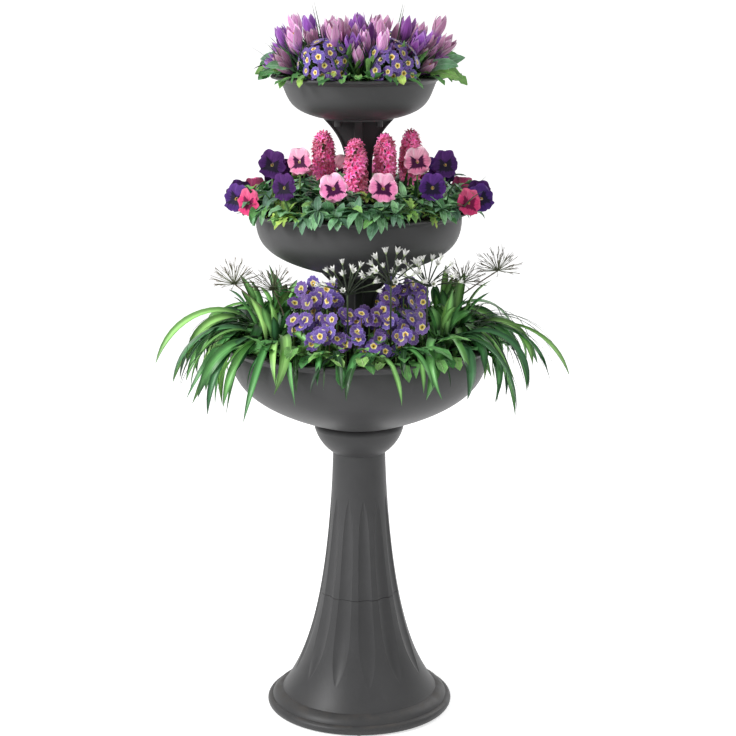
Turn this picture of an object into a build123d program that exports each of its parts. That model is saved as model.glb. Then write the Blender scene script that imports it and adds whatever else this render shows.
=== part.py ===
from build123d import *
from dataclasses import dataclass
from math import atan2, cos, degrees, hypot, pi, radians, sin
import os

os.makedirs("parts", exist_ok=True)

# A free-standing garden planter: a fluted pedestal carries three round bowls, one above the other,
# on two stems of four fins. Millimetres, +Z up, the front faces -Y, the origin is on the ground below
# the pedestal's axis. Azimuths are degrees from the front, positive towards +X.

# Fits
CLEARANCE = 0.4
SEAM_GAP = 0.8
SEAM_DEPTH = 2.0

# Pedestal
PAD_THICKNESS = 1.5
PAD_RADIUS = 6.0
PAD_COUNT = 6
FOOT_RADIUS = 169.0
FOOT_WALL = 15.0
FOOT_BEAD_HEIGHT = 18.0
FOOT_HEIGHT = 32.0
LEDGE_RADIUS = 141.0
LEDGE_HEIGHT = 4.0
SKIRT_RADIUS = 138.0
NECK_RADIUS = 47.0
SEAM_HEIGHT = 218.0
COLUMN_HEIGHT = 480.0
FLARE_POWER = 1.3
FLARE_HOLD = 2.1
COLUMN_WALL = 2.5
NECK_PLATE = 4.0
SPIGOT_LENGTH = 30.0
SPIGOT_WALL = 3.0
CUP_SPIGOT_RADIUS = 35.0

# Flutes of the pedestal
FLUTE_COUNT = 12
FLUTE_AZIMUTH = 9.0
FLUTE_ANGLE = 23.0
FLUTE_DEPTH = 4.5
FLUTE_BOTTOM = 70.0
FLUTE_TOP = 402.0

# Half-bulb capital under the large bowl
CUP_RADIUS = 79.5
CUP_HEIGHT = 56.0
CUP_SHOULDER = 11.0
CUP_BULGE = 5.0
CUP_WALL = 3.0
CUP_PLATE = 4.0

# Stems and the sockets that hold them
FIN_THICKNESS = 6.0
FIN_EDGE = 3.5
FIN_EDGE_WIDTH = 12.0
STEM_FOOT_SIDE = 76.0
STEM_FOOT_PLATE = 8.0
STEM_TOP_PLATE = 4.0
STEM_CORE_RADIUS = 9.0
SOCKET_WALL = 3.5
SOCKET_HEIGHT = 14.0
LOWER_WAIST_RADIUS = 27.0
LOWER_WAIST_RISE = 198.0
LOWER_TOP_RADIUS = 66.0
UPPER_WAIST_RADIUS = 23.0
UPPER_WAIST_RISE = 176.0
UPPER_TOP_RADIUS = 60.5

# Screws, washers and drain plugs
SCREW_RADIUS = 2.0
SCREW_LENGTH = 12.0
SCREW_HEAD_RADIUS = 4.5
SCREW_HEAD = 3.0
SCREW_SLOT = 1.0
WASHER_RADIUS = 6.0
WASHER_THICKNESS = 1.5
SCREW_BOSS_RADIUS = 6.0
SCREW_BOSS_LENGTH = 14.0
STEM_SCREW_CIRCLE = 50.0
CUP_SCREW_CIRCLE = 60.0
DRAIN_AZIMUTH = 135.0
DRAIN_BOSS_RADIUS = 11.0
DRAIN_HOLE_RADIUS = 5.0
PLUG_HEAD_RADIUS = 8.5
PLUG_HEAD = 3.0

# Soil and planting
SOIL_HOLE_GAP = 3.0
SOIL_TO_BED = 4.0
BED_RIM_GAP = 1.0
WATERING_GAP = 60.0
WATERING_INSET = 45.0
STALK_INSET = 24.0
# Flowers behind a stem stand no higher above the rim than this
BACK_HEIGHT = 48.0
LEAF_THICKNESS = 3.0
LEAF_ROOT = 1 / 3
FLOWER_BACK = 0.8

# Bottom tier's plants, set out from the large bowl's rim
PRIMROSE_RADIUS = 15.0
PRIMROSE_THICKNESS = 7.0
PRIMROSE_TILT = 52.0
PRIMROSE_STALK = 1.5
PRIMROSE_PITCH = 36.0
# Rows of the primrose bank: inset from the rim, height above it, columns in pitches to the side
PRIMROSE_ROWS = (
    (66, 36, (-2, -1, 0, 1, 2)),
    (100, 62, (-2.5, -1.5, -0.5, 0.5, 1.5, 2.5)),
    (132, 86, (-2.5, -1.5, 1.5, 2.5)),
    (164, 104, (-2.75, -1.75, 1.75, 2.75)),
)
CLUMP_INSET = 78.0
CLUMP_CROWN_RADIUS = 34.0
CLUMP_CROWN_RISE = 40.0
CLUMP_CROWN_TAPER = 0.7
CLUMP_LEAF_INSET = 6.0
CLUMP_LEAF_DROP = 10.0
CLUMP_LEAF_STEP = 14.0
STRAP_LENGTH = 160.0
STRAP_WIDTH = 16.0
STRAP_RISE = 52.0
STRAP_DROOP = 105.0
UPRIGHT_HEIGHT = 86.0
TUFT_AZIMUTH = 52.0
TUFT_INSET = 71.0
TUFT_CROWN_RADIUS = 30.0
TUFT_LEAF_STEP = 15.0
TUFT_LENGTH = 115.0
TUFT_RISE = 36.0
TUFT_DROOP = 120.0
UMBEL_STALK = 1.6
UMBEL_SPOKE = 33.0
UMBEL_SPOKES = 12
FLORET_RADIUS = 3.6
# White umbels: column in primrose pitches, inset of foot and head, height above the rim
WHITE_UMBELS = ((-0.5, 83, 41, 116), (1.5, 83, 41, 132))
SEED_SPOKE = 36.0
SEED_RADIUS = 1.8
# Seed heads: azimuth and inset of the foot, azimuth and inset of the head, height above the rim
SEED_HEADS = ((-68, 111, -74, 22, 108), (-76, 122, -78, 93, 92))

# Middle tier's plants, set out from the medium bowl's rim
PANSY_RADIUS = 22.0
PANSY_THICKNESS = 9.0
PANSY_TILT = 68.0
PANSY_STALK = 2.0
# Pansies by colour: azimuth to either side, inset from the rim, height above it
PANSIES = {
    "purple": ((63, 31, 84), (42, 11, 53), (82, -18, 20)),
    "pink": ((48, 62, 91), (14, 26, 55)),
    "magenta": ((66, -9, 20),),
}
HYACINTH_RADIUS = 19.0
HYACINTH_STALK = 4.0
# Hyacinths: azimuth, inset from the rim, height of the spike's foot above the rim, spike's length
HYACINTHS = ((-51, 118, 66, 66), (-3, 101, 28, 96), (35, 116, 62, 66), (72, 102, 66, 66))

# Top tier's plants, set out from the small bowl's rim
CROCUS_RADIUS = 11.5
CROCUS_HEIGHT = 48.0
CROCUS_STALK = 2.2
CROCUS_STALK_LENGTH = 66.0
# Rings of crocuses: count, inset from the rim, lean outwards in degrees
CROCUS_RINGS = ((10, 52, 22), (6, 90, 13), (3, 126, 5))
POSY_INSET = 20.0
# Primroses of the posies: azimuth to either side, height above the rim
POSIES = ((10, 30), (26, 44), (39, 32))

# Leaf beds: heights above the rim, and how far the bed laps over it
LARGE_BED = {"inner_rise": 14, "crown_rise": 26, "edge_rise": 12, "overhang": -10}
MEDIUM_BED = {"inner_rise": 34, "crown_rise": 44, "edge_rise": 12, "overhang": 6}
SMALL_BED = {"inner_rise": 25, "crown_rise": 19, "edge_rise": 6, "overhang": 2}

# Leaves over the rims: azimuths, repeated across the axis, place of the root, and size
LARGE_RIM_LEAVES = {"azimuths": (-23, -12, 12, 23), "inset": 34, "lift": 8,
                    "length": 74, "width": 30, "rise": 18, "droop": 40}
MEDIUM_RIM_LEAVES = {"azimuths": (27, 53, 127, 153), "inset": 22, "lift": 6,
                     "length": 60, "width": 26, "rise": 14, "droop": 30}
SMALL_RIM_LEAVES = {"azimuths": (-48, -32, 32, 48), "inset": 22, "lift": 3,
                    "length": 42, "width": 18, "rise": 10, "droop": 10}
SMALL_SIDE_LEAVES = {"azimuths": range(60, 135, 15), "inset": 26, "lift": 3,
                     "length": 72, "width": 22, "rise": 18, "droop": 2}


@dataclass
class Bowl:
    """One bowl: where its flat bottom is, how deep it is, and the shape of its wall."""
    bottom: float
    depth: float
    rim_radius: float
    wall_radius: float
    base_radius: float
    taper: float
    roundness: float
    wall: float
    lip: float
    lip_tip: float
    soil_drop: float
    drain_radius: float

    @property
    def rim(self):
        return self.bottom + self.depth

    @property
    def floor(self):
        return self.bottom + self.wall

    @property
    def soil(self):
        return self.rim - self.soil_drop

    def radius(self, z):
        """Outer radius of the wall at height z."""
        share = (z - self.bottom) / self.depth
        swell = 1.0 - (1.0 - share) ** self.roundness
        return self.base_radius + self.taper * share + (self.wall_radius - self.base_radius - self.taper) * swell

    def height(self, radius):
        """Height at which the outer wall has this radius."""
        low, high = self.bottom, self.rim
        for _ in range(40):
            middle = (low + high) / 2
            if self.radius(middle) < radius:
                low = middle
            else:
                high = middle
        return low

    def inset(self, distance, start, stop, count=9):
        """Points of the wall's line set in by a distance, from height start to stop, close near the bottom."""
        points = []
        for i in range(count):
            z = start + (stop - start) * (i / (count - 1)) ** 2
            step = self.depth / 1000
            slope = (self.radius(z + step) - self.radius(z)) / step
            length = hypot(1.0, slope)
            points.append((self.radius(z) - distance / length, z + distance * slope / length))
        return points

    def inner_radius(self, z):
        """Radius of the inner wall at height z, from the set-in line."""
        points = self.inset(self.wall, self.bottom, self.rim - self.depth / 100, 60)
        below = [p for p in points if p[1] <= z] or points[:1]
        return below[-1][0]


LARGE_BOTTOM = COLUMN_HEIGHT + CUP_HEIGHT
large = Bowl(bottom=LARGE_BOTTOM, depth=152.0, rim_radius=246.0, wall_radius=230.0, base_radius=80.0,
             taper=0.0, roundness=3.1, wall=4.0, lip=15.0, lip_tip=5.0, soil_drop=16.0, drain_radius=118.0)
LOWER_STEM_LENGTH = 270.0
medium = Bowl(bottom=large.floor + LOWER_STEM_LENGTH, depth=110.0, rim_radius=196.0, wall_radius=180.5,
              base_radius=70.0, taper=0.0, roundness=3.7, wall=4.0, lip=12.0, lip_tip=4.5, soil_drop=14.0,
              drain_radius=104.0)
UPPER_STEM_LENGTH = 265.0
small = Bowl(bottom=medium.floor + UPPER_STEM_LENGTH, depth=71.0, rim_radius=152.0, wall_radius=138.0,
             base_radius=72.0, taper=27.0, roundness=6.0, wall=4.0, lip=11.0, lip_tip=4.0, soil_drop=10.0,
             drain_radius=92.0)


def save(shape, name):
    """Write one node of the planter."""
    export_step(shape, f"parts/{name}.step")


def group(solids):
    """Several separate solids that make one node."""
    return Compound(children=list(solids))


def turned(*edges):
    """Solid of revolution about Z from edges drawn as (radius, height)."""
    return revolve(Plane.XZ * make_face(Curve() + list(edges)), Axis.Z)


def drum(radius, low, high):
    """Upright cylinder about Z between two heights."""
    return Pos(0, 0, (low + high) / 2) * Cylinder(radius, high - low)


def polar(azimuth, radius, z=0.0):
    """Point at an azimuth and radius about the planter's axis."""
    return Vector(radius * sin(radians(azimuth)), -radius * cos(radians(azimuth)), z)


def diagonals(radius):
    """The four places of a screw circle, between the fins."""
    return [polar(45 + 90 * k, radius) for k in range(4)]


# Pedestal

SHELL = COLUMN_WALL + FLUTE_DEPTH


def flare(z):
    """Outer radius of the pedestal above its ledge."""
    share = (z - FOOT_HEIGHT - LEDGE_HEIGHT) / (COLUMN_HEIGHT - FOOT_HEIGHT - LEDGE_HEIGHT)
    return NECK_RADIUS + (SKIRT_RADIUS - NECK_RADIUS) * (1 - share) ** FLARE_POWER / (1 + FLARE_HOLD * share)


def flare_line(inset, start, stop, count=9):
    """Points of the pedestal's flared line, from one height to another."""
    heights = [start + (stop - start) * (i / (count - 1)) ** 1.5 for i in range(count)]
    return [(flare(z) - inset, z) for z in heights]


def flute_cutter():
    """Spindle that cuts one flute, pointed at both ends, in the plane of +X."""
    sections = []
    stations = 9
    for i in range(stations):
        share = 0.5 - 0.5 * cos(pi * i / (stations - 1))
        z = FLUTE_BOTTOM + (FLUTE_TOP - FLUTE_BOTTOM) * share
        fullness = max(1 - abs(2 * share - 1) ** 5, 0.02)
        depth = FLUTE_DEPTH * fullness
        half_width = flare(z) * radians(FLUTE_ANGLE / 2) * fullness
        radius = half_width ** 2 / (2 * depth) + depth / 2
        sections.append(Pos(flare(z) - depth + radius, 0, z) * Circle(radius))
    return loft(sections)


def pedestal_shell():
    """Foot, skirt and column as one fluted shell, before it is parted at the seam."""
    ledge_top = FOOT_HEIGHT + LEDGE_HEIGHT
    outer = flare_line(0, ledge_top, COLUMN_HEIGHT)
    inner = flare_line(SHELL, ledge_top, COLUMN_HEIGHT - NECK_PLATE)
    bead_top = (FOOT_RADIUS - FOOT_BEAD_HEIGHT / 2, FOOT_BEAD_HEIGHT)
    bead_low = (FOOT_RADIUS - FOOT_BEAD_HEIGHT / 3, PAD_THICKNESS)
    ledge_edge = (LEDGE_RADIUS, FOOT_HEIGHT)
    foot_inner = FOOT_RADIUS - FOOT_WALL - FOOT_BEAD_HEIGHT / 3
    hole = CUP_SPIGOT_RADIUS + CLEARANCE
    return turned(
        ThreePointArc(bead_low, (FOOT_RADIUS, (PAD_THICKNESS + FOOT_BEAD_HEIGHT) / 2), bead_top),
        SagittaArc(bead_top, ledge_edge, -(FOOT_HEIGHT - FOOT_BEAD_HEIGHT) / 4),
        Line(ledge_edge, outer[0]),
        Spline(*outer),
        Line(outer[-1], (hole, COLUMN_HEIGHT)),
        Line((hole, COLUMN_HEIGHT), (hole, COLUMN_HEIGHT - NECK_PLATE)),
        Line((hole, COLUMN_HEIGHT - NECK_PLATE), inner[-1]),
        Spline(*inner),
        Line(inner[0], (foot_inner, FOOT_BEAD_HEIGHT)),
        Line((foot_inner, FOOT_BEAD_HEIGHT), (foot_inner, PAD_THICKNESS)),
        Line((foot_inner, PAD_THICKNESS), bead_low),
    )


def make_pedestal():
    """Base skirt and upper column, parted at the seam, with the column's spigot inside the skirt."""
    shell = pedestal_shell()
    cutter = flute_cutter()
    shell -= [Rot(0, 0, FLUTE_AZIMUTH - 90 + k * 360 / FLUTE_COUNT) * cutter for k in range(FLUTE_COUNT)]
    wide = 2 * FOOT_RADIUS
    skirt = shell & drum(wide, 0, SEAM_HEIGHT)
    column = shell & drum(wide, SEAM_HEIGHT, 2 * COLUMN_HEIGHT)
    seam_radius = flare(SEAM_HEIGHT)
    reveal = drum(wide, SEAM_HEIGHT, SEAM_HEIGHT + SEAM_GAP)
    reveal -= drum(seam_radius - FLUTE_DEPTH - SEAM_DEPTH / 2, SEAM_HEIGHT, SEAM_HEIGHT + SEAM_GAP)
    column -= reveal
    spigot_outer = seam_radius - SHELL - CLEARANCE
    spigot = drum(spigot_outer, SEAM_HEIGHT - SPIGOT_LENGTH, SEAM_HEIGHT + SPIGOT_WALL * 2)
    spigot -= drum(spigot_outer - SPIGOT_WALL, SEAM_HEIGHT - SPIGOT_LENGTH, SEAM_HEIGHT + SPIGOT_WALL * 2)
    collar = drum(seam_radius - FLUTE_DEPTH - COLUMN_WALL / 2, SEAM_HEIGHT, SEAM_HEIGHT + SPIGOT_WALL * 2)
    collar -= drum(spigot_outer - SPIGOT_WALL, SEAM_HEIGHT, SEAM_HEIGHT + SPIGOT_WALL * 2)
    return skirt, column + collar + spigot


def make_foot_pads():
    """Soft pads under the foot ring."""
    pad = drum(PAD_RADIUS, 0, PAD_THICKNESS)
    ring = FOOT_RADIUS - FOOT_BEAD_HEIGHT / 3 - FOOT_WALL / 2
    return group(Pos(polar(k * 360 / PAD_COUNT, ring)) * pad for k in range(PAD_COUNT))


def make_cup():
    """Half-bulb capital, hollow, with a spigot below and a plate with screw bosses above."""
    top = COLUMN_HEIGHT + CUP_HEIGHT
    shoulder = (CUP_RADIUS, top - CUP_SHOULDER)
    top_radius = CUP_RADIUS - CUP_SHOULDER / 2
    shell = turned(
        SagittaArc((NECK_RADIUS, COLUMN_HEIGHT), shoulder, -CUP_BULGE),
        SagittaArc(shoulder, (top_radius, top), -CUP_SHOULDER / 6),
        Line((top_radius, top), (0, top)),
        Line((0, top), (0, COLUMN_HEIGHT)),
        Line((0, COLUMN_HEIGHT), (NECK_RADIUS, COLUMN_HEIGHT)),
    )
    low = COLUMN_HEIGHT + CUP_PLATE
    high = top - CUP_PLATE
    hollow = turned(
        SagittaArc((NECK_RADIUS - CUP_WALL, low), (CUP_RADIUS - CUP_WALL, top - CUP_SHOULDER), -CUP_BULGE),
        Line((CUP_RADIUS - CUP_WALL, top - CUP_SHOULDER), (top_radius - CUP_WALL, high)),
        Line((top_radius - CUP_WALL, high), (0, high)),
        Line((0, high), (0, low)),
        Line((0, low), (NECK_RADIUS - CUP_WALL, low)),
    )
    cup = shell - hollow
    cup += drum(CUP_SPIGOT_RADIUS, COLUMN_HEIGHT - SPIGOT_LENGTH, COLUMN_HEIGHT)
    cup -= drum(CUP_SPIGOT_RADIUS - SPIGOT_WALL, COLUMN_HEIGHT - SPIGOT_LENGTH, low)
    return add_screw_bosses(cup, CUP_SCREW_CIRCLE, top)


def add_screw_bosses(solid, circle, top):
    """Four bosses below a plate, each with a pilot hole from above."""
    for place in diagonals(circle):
        solid += Pos(place) * drum(SCREW_BOSS_RADIUS, top - SCREW_BOSS_LENGTH, top)
    for place in diagonals(circle):
        solid -= Pos(place) * drum(SCREW_RADIUS + CLEARANCE / 2, top - SCREW_LENGTH - CLEARANCE, top)
    return solid


# Bowls, stems and fasteners

def drain_place(bowl):
    return polar(DRAIN_AZIMUTH, bowl.drain_radius)


def drain_boss_span(bowl):
    """Lowest and highest level of the drain boss, which stands through the curved wall."""
    low = bowl.height(bowl.drain_radius - DRAIN_BOSS_RADIUS)
    high = bowl.height(bowl.drain_radius + DRAIN_BOSS_RADIUS) + 2 * bowl.wall
    return low, high


def make_bowl(bowl, screw_circle, socket):
    """Bowl with a flared rim, drain boss, screw holes and, where a stem stands in it, a socket."""
    lip_low = bowl.rim - bowl.lip
    outer = bowl.inset(0, bowl.bottom, lip_low)
    inner = bowl.inset(bowl.wall, bowl.bottom, bowl.rim - bowl.wall)
    inner_top = (bowl.radius(bowl.rim) - bowl.wall, bowl.rim)
    nose = bowl.lip_tip / 2
    tip_low = (bowl.rim_radius - nose, bowl.rim - bowl.lip_tip)
    tip_high = (bowl.rim_radius - nose, bowl.rim)
    solid = turned(
        Spline(*outer),
        SagittaArc(outer[-1], tip_low, bowl.lip / 6),
        ThreePointArc(tip_low, (bowl.rim_radius, bowl.rim - nose), tip_high),
        Line(tip_high, inner_top),
        Line(inner_top, inner[-1]),
        Spline(*inner),
        Line(inner[0], (0, inner[0][1])),
        Line((0, inner[0][1]), (0, bowl.bottom)),
        Line((0, bowl.bottom), outer[0]),
    )
    low, high = drain_boss_span(bowl)
    solid += Pos(drain_place(bowl)) * drum(DRAIN_BOSS_RADIUS, low, high)
    solid -= Pos(drain_place(bowl)) * drum(DRAIN_HOLE_RADIUS, low - bowl.wall, high)
    floor = inner[0][1]
    if floor < bowl.floor:
        solid += drum(bowl.base_radius, bowl.bottom, bowl.floor)
    if socket:
        side = STEM_FOOT_SIDE + 2 * CLEARANCE
        wall = Box(side + 2 * SOCKET_WALL, side + 2 * SOCKET_WALL, SOCKET_HEIGHT)
        wall -= Box(side, side, SOCKET_HEIGHT)
        solid += Pos(0, 0, bowl.floor + SOCKET_HEIGHT / 2) * Rot(0, 0, 45) * wall
    for place in diagonals(screw_circle):
        solid -= Pos(place) * drum(SCREW_RADIUS + CLEARANCE, bowl.bottom, bowl.floor)
    return solid


def make_washers(bowl, screw_circle):
    """Sealing washers on the bowl's floor."""
    washer = drum(WASHER_RADIUS, bowl.floor, bowl.floor + WASHER_THICKNESS)
    washer -= drum(SCREW_RADIUS + CLEARANCE, bowl.floor, bowl.floor + WASHER_THICKNESS)
    return group(Pos(place) * washer for place in diagonals(screw_circle))


def make_screws(bowl, screw_circle):
    """Slotted screws through the washers and the bowl's floor into the bosses below."""
    seat = bowl.floor + WASHER_THICKNESS
    screw = drum(SCREW_HEAD_RADIUS, seat, seat + SCREW_HEAD)
    screw += drum(SCREW_RADIUS, bowl.bottom - SCREW_LENGTH, seat)
    slot = Box(2 * SCREW_HEAD_RADIUS, SCREW_SLOT, SCREW_SLOT)
    screw -= Pos(0, 0, seat + SCREW_HEAD - SCREW_SLOT / 2) * slot
    return group(Pos(place) * screw for place in diagonals(screw_circle))


def make_drain_plug(bowl):
    """Push-in plug whose head bears on the drain boss from below."""
    low, high = drain_boss_span(bowl)
    plug = drum(PLUG_HEAD_RADIUS, low - PLUG_HEAD, low)
    plug += drum(DRAIN_HOLE_RADIUS - CLEARANCE, low, high)
    return Pos(drain_place(bowl)) * plug


def fin_face(bottom, top, waist_radius, waist_rise, top_radius, inset):
    """Side view of a pair of opposite fins, waisted, flared to the top plate."""
    foot = (STEM_FOOT_SIDE / 2 - inset, bottom + STEM_FOOT_PLATE)
    waist = (waist_radius - inset, bottom + waist_rise)
    head = (top_radius - inset, top - STEM_TOP_PLATE)
    edges = []
    for side in (1, -1):
        foot_s, waist_s, head_s = [(side * p[0], p[1]) for p in (foot, waist, head)]
        edges.append(Spline(foot_s, waist_s, tangents=[(-side * 0.4, 1), (0, 1)]))
        edges.append(Spline(waist_s, head_s, tangents=[(0, 1), (side, 1)]))
    edges.append(Line(foot, (-foot[0], foot[1])))
    edges.append(Line(head, (-head[0], head[1])))
    return Plane.XZ * make_face(Curve() + edges)


def make_stem(bottom, top, waist_radius, waist_rise, top_radius):
    """Stem of four fins with flanged edges, on a square foot turned to point its corners at the fins."""
    shape = (bottom, top, waist_radius, waist_rise, top_radius)
    fins = extrude(fin_face(*shape, 0), FIN_THICKNESS / 2, both=True)
    edge = extrude(fin_face(*shape, 0), FIN_EDGE_WIDTH / 2, both=True)
    edge -= extrude(fin_face(*shape, FIN_EDGE), FIN_EDGE_WIDTH, both=True)
    pair = fins + edge
    stem = pair + Rot(0, 0, 90) * pair
    stem += drum(STEM_CORE_RADIUS, bottom, top)
    foot = Box(STEM_FOOT_SIDE, STEM_FOOT_SIDE, STEM_FOOT_PLATE)
    stem += Pos(0, 0, bottom + STEM_FOOT_PLATE / 2) * Rot(0, 0, 45) * foot
    stem += drum(top_radius, top - STEM_TOP_PLATE, top)
    return add_screw_bosses(stem, STEM_SCREW_CIRCLE, top)


# Soil and planting

STEM_WAY = STEM_FOOT_SIDE / 2 * 2 ** 0.5 + SOIL_HOLE_GAP


def make_soil(bowl, screw_circle, stem_hole):
    """Soil that fills a bowl up to its soil level, clear of the fittings on the floor."""
    wall = bowl.inset(bowl.wall + CLEARANCE, bowl.bottom, bowl.rim - bowl.wall)
    floor = wall[0][1]
    soil = turned(
        Spline(*wall),
        Line(wall[-1], (0, wall[-1][1])),
        Line((0, wall[-1][1]), (0, floor)),
        Line((0, floor), wall[0]),
    )
    soil &= drum(bowl.rim_radius, floor, bowl.soil)
    fittings = max(screw_circle + WASHER_RADIUS, STEM_WAY + 2 * SOCKET_WALL) + SOIL_HOLE_GAP
    soil -= drum(fittings, floor, bowl.floor + SOCKET_HEIGHT + SOIL_HOLE_GAP)
    if stem_hole:
        soil -= drum(STEM_WAY, floor, bowl.rim)
    drain_top = drain_boss_span(bowl)[1]
    soil -= Pos(drain_place(bowl)) * drum(DRAIN_BOSS_RADIUS + CLEARANCE, floor, drain_top + CLEARANCE)
    return soil


def notch_front(bowl):
    """Where the watering notch begins, counted from the axis."""
    return bowl.inner_radius(bowl.soil) - WATERING_INSET


def watering_notch(bowl):
    """Space kept free of leaves at the back of a bowl, where the can's spout reaches the soil."""
    reach = 2 * bowl.rim_radius
    return Pos(0, notch_front(bowl) + reach / 2, bowl.rim) * Box(WATERING_GAP, reach, 4 * bowl.depth)


def flower_height(azimuth, height):
    """Height of a flower above the rim, limited behind the stem."""
    return height if cos(radians(azimuth)) > 0 else min(height, BACK_HEIGHT)


def clear_of_notch(bowl, azimuth, radius, margin):
    """Whether a plant of some half width leaves the watering notch free."""
    place = polar(azimuth, radius)
    return abs(place.X) > WATERING_GAP / 2 + margin or place.Y < notch_front(bowl) - margin


def make_bed(bowl, stem_hole, inner_rise, crown_rise, edge_rise, overhang):
    """Low dome of leaves on the soil that laps over the rim, open at the back for watering."""
    wall = bowl.inner_radius(bowl.soil) - SOIL_TO_BED
    lap = bowl.rim_radius + overhang
    under = bowl.rim + BED_RIM_GAP
    edge = (lap, bowl.rim + edge_rise)
    crown = ((STEM_WAY + lap) / 2, bowl.rim + crown_rise)
    inner = (STEM_WAY, bowl.rim + inner_rise)
    bed = turned(
        Line((0, bowl.soil), (wall, bowl.soil)),
        Line((wall, bowl.soil), (wall, under)),
        Line((wall, under), (lap, under)),
        Line((lap, under), edge),
        ThreePointArc(edge, crown, inner),
        Line(inner, (0, inner[1])),
        Line((0, inner[1]), (0, bowl.soil)),
    )
    if stem_hole:
        bed -= drum(STEM_WAY, bowl.soil, inner[1])
    return bed - watering_notch(bowl)


def blade(length, width, rise, droop):
    """Arched leaf along +X from the origin: up to its rise, over a knee, then hanging to a point."""
    crest = 0.42 * length
    knee = (0.8 * length, 0.3 * rise)
    tip = (length, -droop)
    half = LEAF_THICKNESS / 2
    side = Plane.XZ * make_face(Curve() + [
        ThreePointArc((0, half), (crest, rise), (knee[0], knee[1] + half)),
        Line((knee[0], knee[1] + half), tip),
        Line(tip, (knee[0] - half, knee[1] - half)),
        ThreePointArc((knee[0] - half, knee[1] - half), (crest, rise - 2 * half), (0, -half)),
        Line((0, -half), (0, half)),
    ])
    return extrude(side, width, both=True) & leaf_plan(length, width, crest, rise + droop)


def upright_blade(length, width, height):
    """Leaf that stands up from the origin and leans along +X to a point."""
    half = LEAF_THICKNESS / 2
    side = Plane.XZ * make_face(Curve() + [
        SagittaArc((0, half), (length, height), -length / 8),
        SagittaArc((length, height), (2 * half, -half), length / 8),
        Line((2 * half, -half), (0, half)),
    ])
    return extrude(side, width, both=True) & leaf_plan(length, width, length / 2, height)


def leaf_plan(length, width, widest, reach):
    """Upright prism of a leaf's outline in plan, from a narrow root to a point."""
    root = width * LEAF_ROOT / 2
    plan = make_face(Curve() + [
        Line((0, -root), (0, root)),
        ThreePointArc((0, root), (widest, width / 2), (length, 0)),
        ThreePointArc((0, -root), (widest, -width / 2), (length, 0)),
    ])
    return extrude(plan, 2 * (reach + LEAF_THICKNESS), both=True)


def heading(place, azimuth):
    """Frame at a place whose +X points to an azimuth."""
    return Pos(place) * Rot(0, 0, azimuth - 90)


def add_rim_leaves(bed, bowl, azimuths, inset, lift, length, width, rise, droop):
    """Leaves that start in the bed and hang over the rim, in pairs across the axis."""
    leaf = blade(length, width, rise, droop)
    for azimuth in azimuths:
        for turn in (0, 180):
            root = polar(azimuth + turn, bowl.rim_radius - inset, bowl.rim + lift)
            bed += heading(root, azimuth + turn) * leaf
    return bed


def flower_head(radius, thickness):
    """Open flower as a saucer about Z."""
    return Cone(radius * FLOWER_BACK, radius, thickness)


def open_flower(bowl, bed, place, azimuth, flower, tilt, stalk):
    """Flower that faces outwards and up, on a stalk that comes out of the bed inside the rim."""
    rooting = min(hypot(place.X, place.Y), bowl.rim_radius - STALK_INSET)
    foot = polar(azimuth, rooting, bowl.rim + BED_RIM_GAP + 2 * stalk)
    way = place - foot
    stem = Solid.make_cylinder(stalk, way.length, Plane(foot, z_dir=way))
    return heading(place, azimuth) * Rot(0, tilt, 0) * flower + stem - bed


def upright_flower(stalk_radius, stalk, foot_radius, waist_radius, top_radius, height):
    """Flower turned about its own stalk, from the origin upwards."""
    return turned(
        Line((0, 0), (stalk_radius, 0)),
        Line((stalk_radius, 0), (stalk_radius, stalk)),
        Line((stalk_radius, stalk), (foot_radius, stalk)),
        ThreePointArc((foot_radius, stalk), (waist_radius, stalk + height * 0.45), (top_radius, stalk + height)),
        Line((top_radius, stalk + height), (0, stalk + height)),
        Line((0, stalk + height), (0, 0)),
    )


def umbel(start, top, length, tip_radius):
    """Stalk with straight spokes spread over a half globe, each with a floret or seed at its end."""
    way = top - start
    solid = Solid.make_cylinder(UMBEL_STALK, way.length, Plane(start, z_dir=way))
    solid += Pos(top) * Sphere(2 * UMBEL_STALK)
    for k in range(UMBEL_SPOKES):
        rise = radians(15 + 35 * (k % 3))
        turn = 2 * pi * k / UMBEL_SPOKES
        way_out = Vector(cos(turn) * cos(rise), sin(turn) * cos(rise), sin(rise))
        solid += Solid.make_cylinder(UMBEL_STALK * 0.7, length, Plane(top, z_dir=way_out))
        solid += Pos(top + way_out * length) * Sphere(tip_radius)
    return solid


def clump(bowl, bed, azimuth, inset, crown_radius, leaves):
    """Crown with strap leaves that start apart from each other at its edge, given as headings and blades."""
    low = bowl.soil + BED_RIM_GAP
    high = bowl.rim + CLUMP_CROWN_RISE
    place = polar(azimuth, bowl.rim_radius - inset)
    crown = Cone(crown_radius * CLUMP_CROWN_TAPER, crown_radius, high - low)
    solid = Pos(place) * Pos(0, 0, (low + high) / 2) * crown
    for leaf_heading, leaf in leaves:
        root = place + polar(leaf_heading, crown_radius - CLUMP_LEAF_INSET, high - CLUMP_LEAF_DROP)
        solid += heading(root, leaf_heading) * leaf
    return solid - bed


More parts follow.
